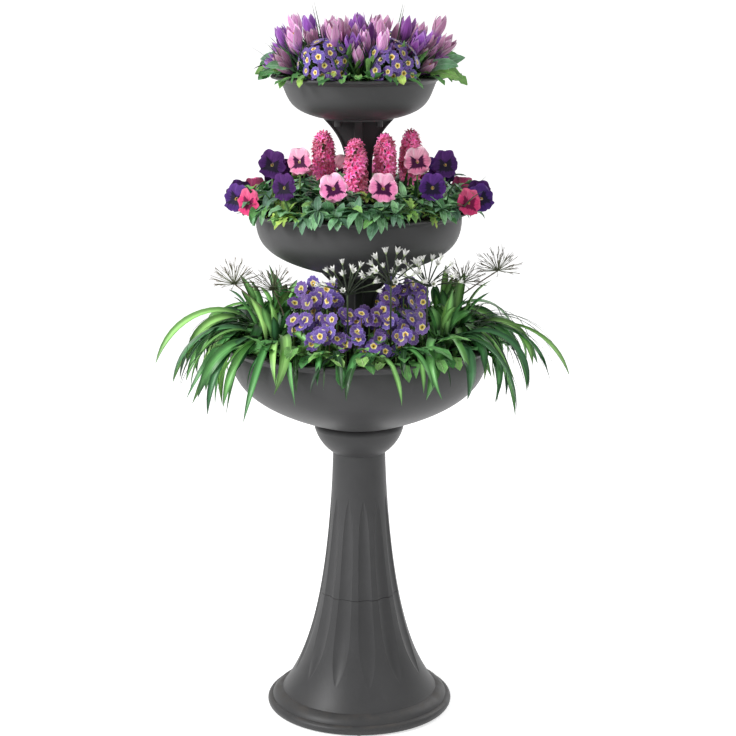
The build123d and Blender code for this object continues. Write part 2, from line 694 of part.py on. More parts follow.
def plant_clumps(bowl, bed, side):
    """Large strap-leaf clump at one side of the bowl and a smaller tuft before and behind it."""
    kinds = (
        blade(STRAP_LENGTH, STRAP_WIDTH, STRAP_RISE, STRAP_DROOP),
        blade(STRAP_LENGTH * 0.85, STRAP_WIDTH, STRAP_RISE * 0.88, STRAP_DROOP * 0.6),
    )
    leaves = [(side + CLUMP_LEAF_STEP * k, kinds[k % 2]) for k in range(-4, 5)]
    leaves.append((side - 90, upright_blade(STRAP_LENGTH / 5, STRAP_WIDTH, UPRIGHT_HEIGHT)))
    solids = [clump(bowl, bed, side, CLUMP_INSET, CLUMP_CROWN_RADIUS, leaves)]
    kinds = (
        blade(TUFT_LENGTH, STRAP_WIDTH, TUFT_RISE, TUFT_DROOP),
        blade(TUFT_LENGTH * 0.9, STRAP_WIDTH, TUFT_RISE * 0.85, TUFT_DROOP * 0.6),
    )
    for turn in (1, -1):
        middle = side + turn * (90 - TUFT_AZIMUTH)
        leaves = [(middle + turn * TUFT_LEAF_STEP * k, kinds[k % 2]) for k in range(-2, 5)]
        solids.append(clump(bowl, bed, middle, TUFT_INSET, TUFT_CROWN_RADIUS, leaves))
    return group(solids)


def plant_primroses(bowl, bed):
    """Bank of primroses in front of the stem and behind it, rising towards the stem."""
    flower = flower_head(PRIMROSE_RADIUS, PRIMROSE_THICKNESS)
    flowers = []
    for inset, height, columns in PRIMROSE_ROWS:
        ahead = bowl.rim_radius - inset
        for across in [PRIMROSE_PITCH * column for column in columns]:
            radius = hypot(across, ahead)
            for azimuth in (degrees(atan2(across, ahead)), degrees(atan2(across, ahead)) + 180):
                if clear_of_notch(bowl, azimuth, radius, 2 * PRIMROSE_STALK):
                    place = polar(azimuth, radius, bowl.rim + flower_height(azimuth, height))
                    flowers.append(open_flower(bowl, bed, place, azimuth, flower, PRIMROSE_TILT, PRIMROSE_STALK))
    return group(flowers)


def plant_umbels(bowl, bed):
    """White umbels on tall stalks that lean out over the front rim."""
    flowers = []
    for column, foot_inset, head_inset, height in WHITE_UMBELS:
        across = PRIMROSE_PITCH * column
        start = Vector(across, foot_inset - bowl.rim_radius, bowl.soil + BED_RIM_GAP)
        top = Vector(across, head_inset - bowl.rim_radius, bowl.rim + height)
        flowers.append(umbel(start, top, UMBEL_SPOKE, FLORET_RADIUS) - bed)
    return group(flowers)


def plant_seed_heads(bowl, bed):
    """Wiry seed heads beside each strap-leaf clump."""
    heads = []
    for foot_azimuth, foot_inset, head_azimuth, head_inset, height in SEED_HEADS:
        for turn in (0, 180):
            start = polar(foot_azimuth + turn, bowl.rim_radius - foot_inset, bowl.soil + BED_RIM_GAP)
            top = polar(head_azimuth + turn, bowl.rim_radius - head_inset, bowl.rim + height)
            heads.append(umbel(start, top, SEED_SPOKE, SEED_RADIUS) - bed)
    return group(heads)


def plant_hyacinths(bowl, bed):
    """Hyacinth spikes round the stem."""
    low = bowl.soil + BED_RIM_GAP
    spikes = []
    for azimuth, inset, foot, length in HYACINTHS:
        for bearing in (azimuth, 180 - azimuth):
            stalk = bowl.rim + flower_height(bearing, foot) - low
            spike = upright_flower(HYACINTH_STALK, stalk, HYACINTH_RADIUS * 0.6, HYACINTH_RADIUS,
                                   HYACINTH_RADIUS * 0.5, length)
            spikes.append(Pos(polar(bearing, bowl.rim_radius - inset, low)) * spike - bed)
    return group(spikes)


def plant_pansies(bowl, bed, places):
    """Pansies of one colour, each place repeated to the left, right, front and back."""
    flower = flower_head(PANSY_RADIUS, PANSY_THICKNESS)
    flowers = []
    for azimuth, inset, height in places:
        radius = bowl.rim_radius - inset
        for bearing in (azimuth, -azimuth, 180 + azimuth, 180 - azimuth):
            if clear_of_notch(bowl, bearing, radius, 2 * PANSY_STALK):
                place = polar(bearing, radius, bowl.rim + flower_height(bearing, height))
                flowers.append(open_flower(bowl, bed, place, bearing, flower, PANSY_TILT, PANSY_STALK))
    return group(flowers)


def plant_crocuses(bowl, bed):
    """Rings of crocuses that lean outwards, every third one purple and the others lilac."""
    crocus = upright_flower(CROCUS_STALK, CROCUS_STALK_LENGTH, CROCUS_STALK * 1.5, CROCUS_RADIUS,
                            CROCUS_RADIUS * 0.8, CROCUS_HEIGHT)
    colours = {"lilac": [], "purple": []}
    for count, inset, lean in CROCUS_RINGS:
        radius = bowl.rim_radius - inset
        for k in range(count):
            azimuth = 360 * (k + 0.5) / count
            if clear_of_notch(bowl, azimuth, radius, CROCUS_RADIUS):
                place = polar(azimuth, radius, bowl.soil + BED_RIM_GAP)
                colour = "purple" if k % 3 == 1 else "lilac"
                colours[colour].append(heading(place, azimuth) * Rot(0, lean, 0) * crocus - bed)
    return {colour: group(flowers) for colour, flowers in colours.items()}


def plant_posies(bowl, bed):
    """Primroses along the rim, in front and behind."""
    flower = flower_head(PRIMROSE_RADIUS, PRIMROSE_THICKNESS)
    radius = bowl.rim_radius - POSY_INSET
    flowers = []
    for azimuth, height in POSIES:
        for bearing in (azimuth, -azimuth, 180 + azimuth, 180 - azimuth):
            if clear_of_notch(bowl, bearing, radius, 2 * PRIMROSE_STALK):
                place = polar(bearing, radius, bowl.rim + height)
                flowers.append(open_flower(bowl, bed, place, bearing, flower, PRIMROSE_TILT, PRIMROSE_STALK))
    return group(flowers)


# Assemble the planter

base_skirt, column_upper = make_pedestal()
save(base_skirt, "base_skirt")
save(column_upper, "column_upper")
save(make_foot_pads(), "foot_pads")
save(make_cup(), "capital_cup")

save(make_bowl(large, CUP_SCREW_CIRCLE, True), "large_bowl")
save(make_bowl(medium, STEM_SCREW_CIRCLE, True), "medium_bowl")
save(make_bowl(small, STEM_SCREW_CIRCLE, False), "small_bowl")
for name, bowl, circle in (("large", large, CUP_SCREW_CIRCLE), ("medium", medium, STEM_SCREW_CIRCLE),
                           ("small", small, STEM_SCREW_CIRCLE)):
    save(make_screws(bowl, circle), f"{name}_bowl_screws")
    save(make_washers(bowl, circle), f"{name}_bowl_washers")
    save(make_drain_plug(bowl), f"{name}_drain_plug")
    save(make_soil(bowl, circle, bowl is not small), f"{name}_soil")

save(make_stem(large.floor, medium.bottom, LOWER_WAIST_RADIUS, LOWER_WAIST_RISE, LOWER_TOP_RADIUS), "lower_stem")
save(make_stem(medium.floor, small.bottom, UPPER_WAIST_RADIUS, UPPER_WAIST_RISE, UPPER_TOP_RADIUS), "upper_stem")

large_bed = make_bed(large, True, **LARGE_BED)
save(add_rim_leaves(large_bed, large, **LARGE_RIM_LEAVES), "large_leaf_bed")
save(plant_clumps(large, large_bed, -90), "strap_clump_left")
save(plant_clumps(large, large_bed, 90), "strap_clump_right")
save(plant_primroses(large, large_bed), "large_primroses")
save(plant_umbels(large, large_bed), "white_umbels")
save(plant_seed_heads(large, large_bed), "seed_heads")

medium_bed = make_bed(medium, True, **MEDIUM_BED)
save(add_rim_leaves(medium_bed, medium, **MEDIUM_RIM_LEAVES), "medium_leaf_bed")
save(plant_hyacinths(medium, medium_bed), "hyacinths")
for colour, places in PANSIES.items():
    save(plant_pansies(medium, medium_bed, places), f"{colour}_pansies")

small_bed = make_bed(small, False, **SMALL_BED)
small_leaves = add_rim_leaves(small_bed, small, **SMALL_RIM_LEAVES)
save(add_rim_leaves(small_leaves, small, **SMALL_SIDE_LEAVES), "small_leaf_bed")
for colour, flowers in plant_crocuses(small, small_bed).items():
    save(flowers, f"{colour}_crocuses")
save(plant_posies(small, small_bed), "small_primroses")
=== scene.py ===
import math
import random

import bpy
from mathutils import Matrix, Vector, noise


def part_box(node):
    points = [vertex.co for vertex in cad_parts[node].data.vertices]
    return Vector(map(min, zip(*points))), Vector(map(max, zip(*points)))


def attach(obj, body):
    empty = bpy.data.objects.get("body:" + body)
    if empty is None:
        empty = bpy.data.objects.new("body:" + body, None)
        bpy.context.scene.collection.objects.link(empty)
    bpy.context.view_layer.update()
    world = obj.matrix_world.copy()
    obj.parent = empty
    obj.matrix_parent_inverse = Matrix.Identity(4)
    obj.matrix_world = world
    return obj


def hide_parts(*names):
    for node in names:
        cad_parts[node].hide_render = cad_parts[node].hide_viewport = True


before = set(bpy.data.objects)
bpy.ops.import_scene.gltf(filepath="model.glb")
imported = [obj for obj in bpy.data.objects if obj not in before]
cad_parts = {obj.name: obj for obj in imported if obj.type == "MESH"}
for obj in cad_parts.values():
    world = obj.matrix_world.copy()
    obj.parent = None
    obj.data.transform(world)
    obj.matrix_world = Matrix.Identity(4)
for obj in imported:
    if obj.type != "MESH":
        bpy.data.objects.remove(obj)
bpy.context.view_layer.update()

bl_info = {
    "name": "Tiered Planter",
    "version": (1, 0, 0),
    "blender": (4, 5, 0),
    "location": "View3D > Sidebar > Planter",
    "description": "Finishes a planter of three bowls on a fluted pedestal and plants it",
    "category": "Object",
}

MM = 0.001
UP = Vector((0, 0, 1))
GOLDEN_ANGLE = math.pi * (3 - math.sqrt(5))
STEM_WAY = 58 * MM
NOTCH_HALF = 32 * MM
NOTCH_DEPTH = 47 * MM
RIM_GAP = 3 * MM


# The tiers, as the frame has them

class Tier:
    """One bowl of the planter: its rim, its soil and the ways that the plants leave free."""

    def __init__(self, size, body, has_stem):
        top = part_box(size + "_bowl")[1]
        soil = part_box(size + "_soil")[1]
        self.body = body
        self.rim = top.z
        self.radius = top.x
        self.soil = soil.z
        self.inner = soil.x
        self.way = STEM_WAY if has_stem else 0.0

    def at(self, azimuth, inset, height):
        """Point at an azimuth in degrees, set in from the rim and above it, in millimetres."""
        return polar(math.radians(azimuth), self.radius - inset * MM, self.rim + height * MM)

    def keeps_off(self, rows):
        """Whether a leaf leaves the stem's way and the watering gap free."""
        for row in rows:
            for p in row:
                if self.way and math.hypot(p.x, p.y) < self.way:
                    return False
                if abs(p.x) < NOTCH_HALF and p.y > self.inner - NOTCH_DEPTH:
                    return False
        return True

    def over_rim(self, rows, gap):
        """The same leaf, lifted where it would cut through the bowl."""
        for row in rows:
            for p in row:
                around = math.hypot(p.x, p.y)
                if self.inner - gap < around < self.radius + gap:
                    p.z = max(p.z, self.rim + gap)
                elif around <= self.inner - gap:
                    p.z = max(p.z, self.soil + gap / 3)
        return rows


def polar(azimuth, radius, z):
    """Point about the planter's axis; the azimuth counts from the front towards +X."""
    return Vector((radius * math.sin(azimuth), -radius * math.cos(azimuth), z))


def outward(azimuth):
    return Vector((math.sin(azimuth), -math.cos(azimuth), 0))


LARGE = Tier("large", "bottom_tier", True)
MEDIUM = Tier("medium", "middle_tier", True)
SMALL = Tier("small", "top_tier", False)

# Where the plants stand, in degrees and millimetres. The third umbel and the middle crocuses have no solids,
# and the rest stand about where their solids do.
PRIMROSE_PITCH = 36
PRIMROSE_ROWS = (
    (66, 36, (-2, -1, 0, 1, 2)),
    (100, 62, (-2.5, -1.5, -0.5, 0.5, 1.5, 2.5)),
    (132, 86, (-2.5, -1.5, 1.5, 2.5)),
    (164, 104, (-2.75, -1.75, 1.75, 2.75)),
)
WHITE_UMBELS = ((-0.5, 83, 41, 116), (1.5, 83, 41, 132), (3.2, 96, 62, 126))
SEED_HEADS = ((-68, 111, -74, 22, 108), (-76, 122, -78, 93, 92))
PANSIES = {
    "purple": ((63, 31, 84), (42, 11, 53), (82, -18, 20)),
    "pink": ((48, 62, 91), (14, 26, 55)),
    "magenta": ((66, -9, 20),),
}
HYACINTHS = ((-51, 118, 66, 66), (-3, 101, 28, 96), (35, 116, 62, 66), (72, 102, 66, 66))
CROCUS_RINGS = ((10, 52, 22), (6, 90, 13), (3, 126, 5))
MIDDLE_CROCUSES = {
    "lilac": ((0, 90, 16, 30), (8, 62, 10, 46), (-14, 40, 6, 54)),
    "purple": ((-6, 74, 13, 40), (22, 30, 6, 56)),
}
POSY_MIDDLE = Vector((55, 98, 23)) * MM
POSY_REACH = Vector((43, 34, 42)) * MM
BACK_HEIGHT = 48


def flower_height(azimuth, height):
    """Height of a flower above the rim in millimetres, limited behind the stem."""
    return height if math.cos(math.radians(azimuth)) > 0 else min(height, BACK_HEIGHT)


# Sizes and colours that a user may change

def colour_property(name, description, default):
    return bpy.props.FloatVectorProperty(
        name=name, description=description, default=default, subtype="COLOR", size=3, min=0, max=1)


def length_property(name, description, default):
    return bpy.props.FloatProperty(
        name=name, description=description, default=default, min=0, subtype="DISTANCE", unit="LENGTH")


def power_property(name, description, default):
    return bpy.props.FloatProperty(name=name, description=description, default=default, unit="POWER")


class PlanterFinish(bpy.types.PropertyGroup):
    """Finish of the moulded pots, their fittings and the soil."""
    plastic: colour_property("Plastic", "Colour of the moulded pots and pedestal", (0.060, 0.060, 0.0617))
    dust: colour_property("Dust", "Colour of soil dust on upward faces", (0.11, 0.095, 0.082))
    rubber: colour_property("Rubber", "Colour of pads, washers and plugs", (0.018, 0.018, 0.019))
    zinc: colour_property("Zinc", "Colour of the plated screws", (0.62, 0.62, 0.64))
    soil: colour_property("Soil", "Colour of damp potting soil", (0.040, 0.025, 0.016))
    grain: bpy.props.FloatProperty(
        name="Grain", description="Strength of the moulded grain", default=0.10, min=0, max=1,
        subtype="FACTOR")


class LeafSettings(bpy.types.PropertyGroup):
    """Colours and numbers of the leaves."""
    strap: colour_property("Strap leaf", "Colour of the arching strap leaves", (0.155, 0.500, 0.120))
    grass: colour_property("Grass leaf", "Colour of the thin dark leaves", (0.020, 0.070, 0.018))
    crinkled: colour_property("Crinkled leaf", "Colour of the primrose leaves", (0.185, 0.49, 0.13))
    oval: colour_property("Oval leaf", "Colour of the middle tier's grey-green leaves", (0.16, 0.36, 0.19))
    rosette: colour_property("Rosette leaf", "Colour of the small lobed leaves", (0.24, 0.45, 0.09))
    stalk: colour_property("Stalk", "Colour of flower stalks", (0.12, 0.22, 0.06))
    strap_count: bpy.props.IntProperty(
        name="Strap leaves", description="Leaves in each large clump", default=84, min=8, max=140)
    tuft_count: bpy.props.IntProperty(
        name="Tuft leaves", description="Leaves in each smaller tuft", default=50, min=4, max=80)
    strap_width: length_property("Strap width", "Width of a strap leaf", 15 * MM)


class FlowerSettings(bpy.types.PropertyGroup):
    """Colours and sizes of the flowers."""
    primrose: colour_property("Primrose", "Colour of the primroses", (0.165, 0.082, 0.400))
    lilac: colour_property("Lilac crocus", "Colour of the light crocuses", (0.80, 0.36, 0.66))
    purple: colour_property("Purple crocus", "Colour of the dark crocuses", (0.36, 0.10, 0.52))
    hyacinth: colour_property("Hyacinth", "Colour of the hyacinths", (0.98, 0.17, 0.42))
    pansy_purple: colour_property("Purple pansy", "Colour of the purple pansies", (0.054, 0.010, 0.135))
    pansy_pink: colour_property("Pink pansy", "Colour of the pink pansies", (0.90, 0.25, 0.46))
    pansy_magenta: colour_property("Magenta pansy", "Colour of the magenta pansies", (0.90, 0.055, 0.27))
    white: colour_property("White floret", "Colour of the umbels' florets", (0.86, 0.86, 0.83))
    primrose_radius: length_property("Primrose radius", "Radius of an open primrose", 14 * MM)
    pansy_radius: length_property("Pansy radius", "Radius of an open pansy", 24.5 * MM)
    crocus_height: length_property("Crocus height", "Height of a crocus cup", 47 * MM)


class StageSettings(bpy.types.PropertyGroup):
    """Floor, light and camera."""
    floor: colour_property("Floor", "Colour of the floor and backdrop", (0.90, 0.90, 0.90))
    key: power_property("Key light", "Strength of the key light", 145)
    fill: power_property("Fill light", "Strength of the fill light", 14)
    back: power_property("Back light", "Strength of the back light", 45)
    lens: bpy.props.FloatProperty(name="Lens", description="Focal length", default=91.5, unit="CAMERA")


# Shader wiring

class Wiring:
    """Places the nodes of one tree and joins them."""

    def __init__(self, tree):
        self.tree = tree

    def add(self, kind, values=None, **settings):
        made = self.tree.nodes.new("ShaderNode" + kind)
        for name, value in settings.items():
            setattr(made, name, value)
        for socket, value in (values or {}).items():
            self.feed(made.inputs[socket], value)
        return made

    def feed(self, socket, value):
        if isinstance(value, bpy.types.NodeSocket):
            self.tree.links.new(value, socket)
        elif socket.type == "RGBA" and len(value) == 3:
            socket.default_value = (*value, 1)
        else:
            socket.default_value = value

    def math(self, operation, first, second=0.0, third=0.0, clamp=False):
        made = self.add("Math", {0: first, 1: second, 2: third}, operation=operation, use_clamp=clamp)
        return made.outputs[0]

    def mix(self, factor, first, second):
        return self.add("Mix", {0: factor, 6: first, 7: second}, data_type="RGBA").outputs[2]

    def lay(self, colour, over, mask, share):
        """A colour with another laid over it by a share of a mask."""
        return self.mix(self.math("MULTIPLY", mask, share), colour, over)

    def fade(self, value, start, stop, low=0.0, high=1.0):
        made = self.add("MapRange", {"Value": value, "From Min": start, "From Max": stop, "To Min": low,
                                     "To Max": high}, interpolation_type="SMOOTHSTEP")
        return made.outputs["Result"]

    def noise(self, vector, scale, detail, roughness=0.55):
        made = self.add("TexNoise", {"Vector": vector, "Scale": scale, "Detail": detail,
                                     "Roughness": roughness})
        return made.outputs["Fac"]

    def bump(self, height, strength, distance):
        made = self.add("Bump", {"Height": height, "Strength": strength, "Distance": distance})
        return made.outputs["Normal"]

    def group(self, tree, values=None):
        return self.add("Group", values, node_tree=tree)


def shader_group(name, takes, gives):
    """Empty node group with named sockets, or the one that is there already."""
    if name in bpy.data.node_groups:
        return bpy.data.node_groups[name], None, None, None
    tree = bpy.data.node_groups.new(name, "ShaderNodeTree")
    for socket, kind, default in takes:
        made = tree.interface.new_socket(socket, in_out="INPUT", socket_type="NodeSocket" + kind)
        if default is not None:
            made.default_value = default
    for socket, kind in gives:
        tree.interface.new_socket(socket, in_out="OUTPUT", socket_type="NodeSocket" + kind)
    start = tree.nodes.new("NodeGroupInput")
    end = tree.nodes.new("NodeGroupOutput")
    return tree, Wiring(tree), start.outputs, end.inputs


def moulded_grain():
    """Fine grain of a moulded face, and slow mottling of its colour."""
    tree, w, start, end = shader_group(
        "Moulded grain", [("Scale", "Float", 1.0)], [("Height", "Float"), ("Mottle", "Float")])
    if w:
        place = w.add("TexCoord").outputs["Object"]
        scaled = w.add("VectorMath", {0: place, "Scale": start["Scale"]}, operation="SCALE").outputs[0]
        fine = w.noise(scaled, 1400, 2)
        coarse = w.noise(scaled, 420, 2)
        w.feed(end["Height"], w.math("ADD", w.math("MULTIPLY", fine, 0.6), w.math("MULTIPLY", coarse, 0.4)))
        w.feed(end["Mottle"], w.noise(scaled, 7, 4, 0.6))
    return tree


def settled_dust():
    """Mask of dust that lies on upward faces, in drifts."""
    tree, w, start, end = shader_group(
        "Settled dust", [("Scale", "Float", 30.0)], [("Mask", "Float")])
    if w:
        coordinates = w.add("TexCoord")
        rise = w.add("SeparateXYZ", {0: coordinates.outputs["Normal"]}).outputs["Z"]
        lying = w.fade(rise, 0.45, 0.98)
        drift = w.fade(w.noise(coordinates.outputs["Object"], start["Scale"], 5, 0.65), 0.36, 0.68)
        w.feed(end["Mask"], w.math("MULTIPLY", lying, drift))
    return tree


def rubbed_marks():
    """Mask of light rubbed marks and a height for shallow scuffs."""
    tree, w, start, end = shader_group(
        "Rubbed marks", [("Scale", "Float", 60.0)], [("Mask", "Float"), ("Height", "Float")])
    if w:
        place = w.add("TexCoord").outputs["Object"]
        stretched = w.add("Mapping", {"Vector": place, "Scale": (1.0, 1.0, 0.22)}).outputs[0]
        streaks = w.noise(stretched, start["Scale"], 6, 0.7)
        marks = w.fade(streaks, 0.60, 0.74)
        w.feed(end["Mask"], marks)
        w.feed(end["Height"], w.math("MULTIPLY", streaks, 0.3))
    return tree


def leaf_place():
    """Where a point lies on its leaf or petal, across from -1 to 1 and along from 0 to 1, and its tint."""
    tree, w, _, end = shader_group(
        "Leaf place", [], [("Across", "Float"), ("Edge", "Float"), ("Along", "Float"), ("Tint", "Float")])
    if w:
        stored = w.add("Attribute", attribute_name="place", attribute_type="GEOMETRY").outputs["Vector"]
        parts = w.add("SeparateXYZ", {0: stored})
        across = w.math("MULTIPLY_ADD", parts.outputs["X"], 2.0, -1.0)
        w.feed(end["Across"], across)
        w.feed(end["Edge"], w.math("ABSOLUTE", across))
        w.feed(end["Along"], parts.outputs["Y"])
        w.feed(end["Tint"], parts.outputs["Z"])
    return tree


def leaf_veins():
    """Masks of a leaf's midrib and side veins, and their height."""
    tree, w, start, end = shader_group(
        "Leaf veins",
        [("Edge", "Float", 0.0), ("Along", "Float", 0.0), ("Pairs", "Float", 8.0), ("Slant", "Float", 0.5)],
        [("Midrib", "Float"), ("Side veins", "Float"), ("Height", "Float")])
    if w:
        midrib = w.fade(start["Edge"], 0.13, 0.02)
        slanted = w.math("SUBTRACT", start["Along"], w.math("MULTIPLY", start["Edge"], start["Slant"]))
        place = w.add("TexCoord").outputs["Object"]
        wander = w.math("MULTIPLY", w.noise(place, 160, 2), 0.05)
        turns = w.math("MULTIPLY", start["Pairs"], 2 * math.pi)
        wave = w.math("SINE", w.math("MULTIPLY", w.math("ADD", slanted, wander), turns))
        side = w.fade(wave, 0.72, 0.98)
        w.feed(end["Midrib"], midrib)
        w.feed(end["Side veins"], side)
        sunk = w.math("MAXIMUM", midrib, w.math("MULTIPLY", side, 0.7))
        w.feed(end["Height"], w.math("SUBTRACT", w.math("MULTIPLY", w.noise(place, 420, 3), 0.5), sunk))
    return tree


def leaf_tint():
    """A colour made lighter, darker, yellower or bluer by its leaf's tint."""
    tree, w, start, end = shader_group(
        "Leaf tint", [("Color", "Color", None), ("Tint", "Float", 0.5), ("Amount", "Float", 0.5)],
        [("Color", "Color")])
    if w:
        swing = w.math("MULTIPLY", w.math("SUBTRACT", start["Tint"], 0.5), start["Amount"])
        hue = w.math("SUBTRACT", 0.5, w.math("MULTIPLY", swing, 0.07))
        value = w.math("MULTIPLY_ADD", swing, 1.1, 1.0)
        shifted = w.add("HueSaturation", {"Hue": hue, "Saturation": 1.0, "Value": value, "Fac": 1.0,
                                          "Color": start["Color"]}).outputs[0]
        w.feed(end["Color"], shifted)
    return tree


def petal_streaks():
    """Mask of fine veins that run out along a petal and fan with it."""
    tree, w, start, end = shader_group(
        "Petal streaks",
        [("Across", "Float", 0.0), ("Along", "Float", 0.0), ("Tint", "Float", 0.0), ("Count", "Float", 7.0)],
        [("Mask", "Float"), ("Height", "Float")])
    if w:
        wander = w.add("CombineXYZ", {0: w.math("MULTIPLY", start["Across"], start["Count"]),
                                      1: w.math("MULTIPLY", start["Along"], 1.6),
                                      2: w.math("MULTIPLY", start["Tint"], 37.0)}).outputs[0]
        streak = w.noise(wander, 1.0, 3, 0.6)
        w.feed(end["Mask"], w.fade(streak, 0.42, 0.70))
        w.feed(end["Height"], streak)
    return tree


def leaf_streaks(w, place, count):
    """Outputs of the streaks along a leaf or petal."""
    return w.group(petal_streaks(), {"Across": place["Across"], "Along": place["Along"],
                                     "Tint": place["Tint"], "Count": count}).outputs


def leaf_tinted(w, colour, place, amount):
    """Colour that swings by an amount from leaf to leaf."""
    return w.group(leaf_tint(), {"Color": colour, "Tint": place["Tint"], "Amount": amount}).outputs["Color"]


def new_material(name):
    """Material with its wiring and its Principled shader's inputs, or None twice where it is made already."""
    name = "planter_" + name
    if name in bpy.data.materials:
        return bpy.data.materials[name], None, None
    material = bpy.data.materials.new(name)
    material.use_nodes = True
    return material, Wiring(material.node_tree), material.node_tree.nodes["Principled BSDF"].inputs


def darker(colour, share):
    return tuple(c * share for c in colour)


def towards(colour, other, share):
    return tuple(a + (b - a) * share for a, b in zip(colour, other))


def moulded_plastic():
    """Satin anthracite plastic: grain, mottling, soil dust on ledges and a few rubbed marks."""
    finish = bpy.context.scene.planter_finish
    material, w, shader = new_material("anthracite_plastic")
    if w:
        grain = w.group(moulded_grain(), {"Scale": 1.0}).outputs
        dust = w.group(settled_dust(), {"Scale": 34.0}).outputs["Mask"]
        rubbed = w.group(rubbed_marks(), {"Scale": 46.0}).outputs
        base = tuple(finish.plastic)
        colour = w.mix(w.fade(grain["Mottle"], 0.3, 0.7), darker(base, 0.90), darker(base, 1.10))
        colour = w.lay(colour, darker(base, 1.7), rubbed["Mask"], 0.16)
        colour = w.lay(colour, tuple(finish.dust), dust, 0.42)
        w.feed(shader["Base Color"], colour)
        rough = w.math("MULTIPLY_ADD", grain["Mottle"], 0.14, 0.38)
        w.feed(shader["Roughness"], w.math("ADD", rough, w.math("MULTIPLY", dust, 0.22)))
        height = w.math("ADD", grain["Height"], rubbed["Height"])
        w.feed(shader["Normal"], w.bump(height, finish.grain, 0.0006))
        shader["Specular IOR Level"].default_value = 0.30
    return material


def soft_rubber():
    """Matt black rubber with a bloom of dust."""
    finish = bpy.context.scene.planter_finish
    material, w, shader = new_material("black_rubber")
    if w:
        grain = w.group(moulded_grain(), {"Scale": 1.8}).outputs
        dust = w.group(settled_dust(), {"Scale": 60.0}).outputs["Mask"]
        base = tuple(finish.rubber)
        colour = w.mix(grain["Mottle"], darker(base, 0.8), darker(base, 1.6))
        w.feed(shader["Base Color"], w.lay(colour, tuple(finish.dust), dust, 0.3))
        w.feed(shader["Roughness"], w.fade(grain["Mottle"], 0.2, 0.8, 0.72, 0.9))
        w.feed(shader["Normal"], w.bump(grain["Height"], 0.2, 0.0005))
    return material


def plated_steel():
    """Zinc-plated steel with a fine grain and a few dull spots."""
    finish = bpy.context.scene.planter_finish
    material, w, shader = new_material("zinc_steel")
    if w:
        grain = w.group(moulded_grain(), {"Scale": 2.5}).outputs
        base = tuple(finish.zinc)
        w.feed(shader["Base Color"], w.mix(grain["Mottle"], darker(base, 0.75), base))
        w.feed(shader["Roughness"], w.fade(grain["Mottle"], 0.3, 0.7, 0.28, 0.5))
        shader["Metallic"].default_value = 1.0
        w.feed(shader["Normal"], w.bump(grain["Height"], 0.12, 0.0003))
    return material


def potting_soil():
    """Damp crumbly soil with lighter fibres and pale grit."""
    finish = bpy.context.scene.planter_finish
    material, w, shader = new_material("potting_soil")
    if w:
        place = w.add("TexCoord").outputs["Object"]
        lumps = w.noise(place, 140, 5, 0.7)
        base = tuple(finish.soil)
        colour = w.mix(w.fade(lumps, 0.3, 0.75), darker(base, 0.35), darker(base, 1.6))
        cells = w.add("TexVoronoi", {"Vector": place, "Scale": 260.0}).outputs["Distance"]
        grit = w.math("MULTIPLY", w.fade(cells, 0.16, 0.07), w.fade(w.noise(place, 70, 1), 0.56, 0.62))
        w.feed(shader["Base Color"], w.mix(grit, colour, (0.36, 0.31, 0.24)))
        shader["Roughness"].default_value = 0.93
        w.feed(shader["Normal"], w.bump(w.math("ADD", lumps, w.noise(place, 600, 3)), 0.8, 0.002))
    return material


def leaf_material(name, base, pale, pairs, slant, rib, veins, tint, rough, relief, edge=0.0, tip=0.0):
    """Leaf with midrib and veins. Pale is the colour of veins and margin; tip darkens the point."""
    material, w, shader = new_material(name)
    if w:
        place = w.group(leaf_place()).outputs
        vein = w.group(leaf_veins(), {"Edge": place["Edge"], "Along": place["Along"], "Pairs": pairs,
                                      "Slant": slant}).outputs
        near = w.add("TexCoord").outputs["Object"]
        blotch = w.noise(near, 70, 3)
        colour = w.mix(w.fade(blotch, 0.25, 0.75), darker(base, 0.62), darker(base, 1.28))
        # Painted shade at the leaf's root, where it lies under the other leaves.
        colour = w.lay(colour, darker(base, 0.35), w.fade(place["Along"], 0.30, 0.0), 0.45)
        if tip:
            colour = w.lay(colour, darker(base, 0.25), w.fade(place["Along"], 0.72, 1.0), tip)
        if edge:
            colour = w.lay(colour, pale, w.fade(place["Edge"], 0.80, 1.0), edge)
        colour = w.lay(colour, pale, vein["Side veins"], veins)
        colour = w.lay(colour, pale, vein["Midrib"], rib)
        w.feed(shader["Base Color"], leaf_tinted(w, colour, place, tint))
        w.feed(shader["Roughness"], w.fade(blotch, 0.2, 0.8, rough - 0.08, rough + 0.12))
        w.feed(shader["Normal"], w.bump(vein["Height"], relief, 0.0012))
        shader["Specular IOR Level"].default_value = 0.4
    return material


def strap_leaf():
    """Arching strap leaf: painted highlight down its middle, painted shade at its edges and root, parallel
    veins, dark tips.
    """
    leaves = bpy.context.scene.planter_leaves
    base = tuple(leaves.strap)
    material, w, shader = new_material("strap_leaf")
    if w:
        place = w.group(leaf_place()).outputs
        lines = leaf_streaks(w, place, 5.0)
        # Painted fold shading: a pale highlight down the middle and painted shade towards the edges.
        middle = w.fade(place["Edge"], 0.85, 0.10)
        colour = w.mix(middle, darker(base, 0.50), towards(darker(base, 1.35), (0.40, 0.62, 0.30), 0.26))
        colour = w.lay(colour, darker(base, 0.42), lines["Mask"], 0.40)
        colour = w.lay(colour, (0.012, 0.055, 0.022), w.fade(place["Along"], 0.70, 1.0), 0.62)
        # Painted shade at the root, where the leaf stands deep inside its clump.
        colour = w.lay(colour, (0.008, 0.032, 0.010), w.fade(place["Along"], 0.36, 0.02), 0.85)
        w.feed(shader["Base Color"], leaf_tinted(w, colour, place, 1.2))
        w.feed(shader["Roughness"], w.fade(lines["Height"], 0.3, 0.7, 0.34, 0.50))
        w.feed(shader["Normal"], w.bump(lines["Height"], 0.35, 0.001))
    return material


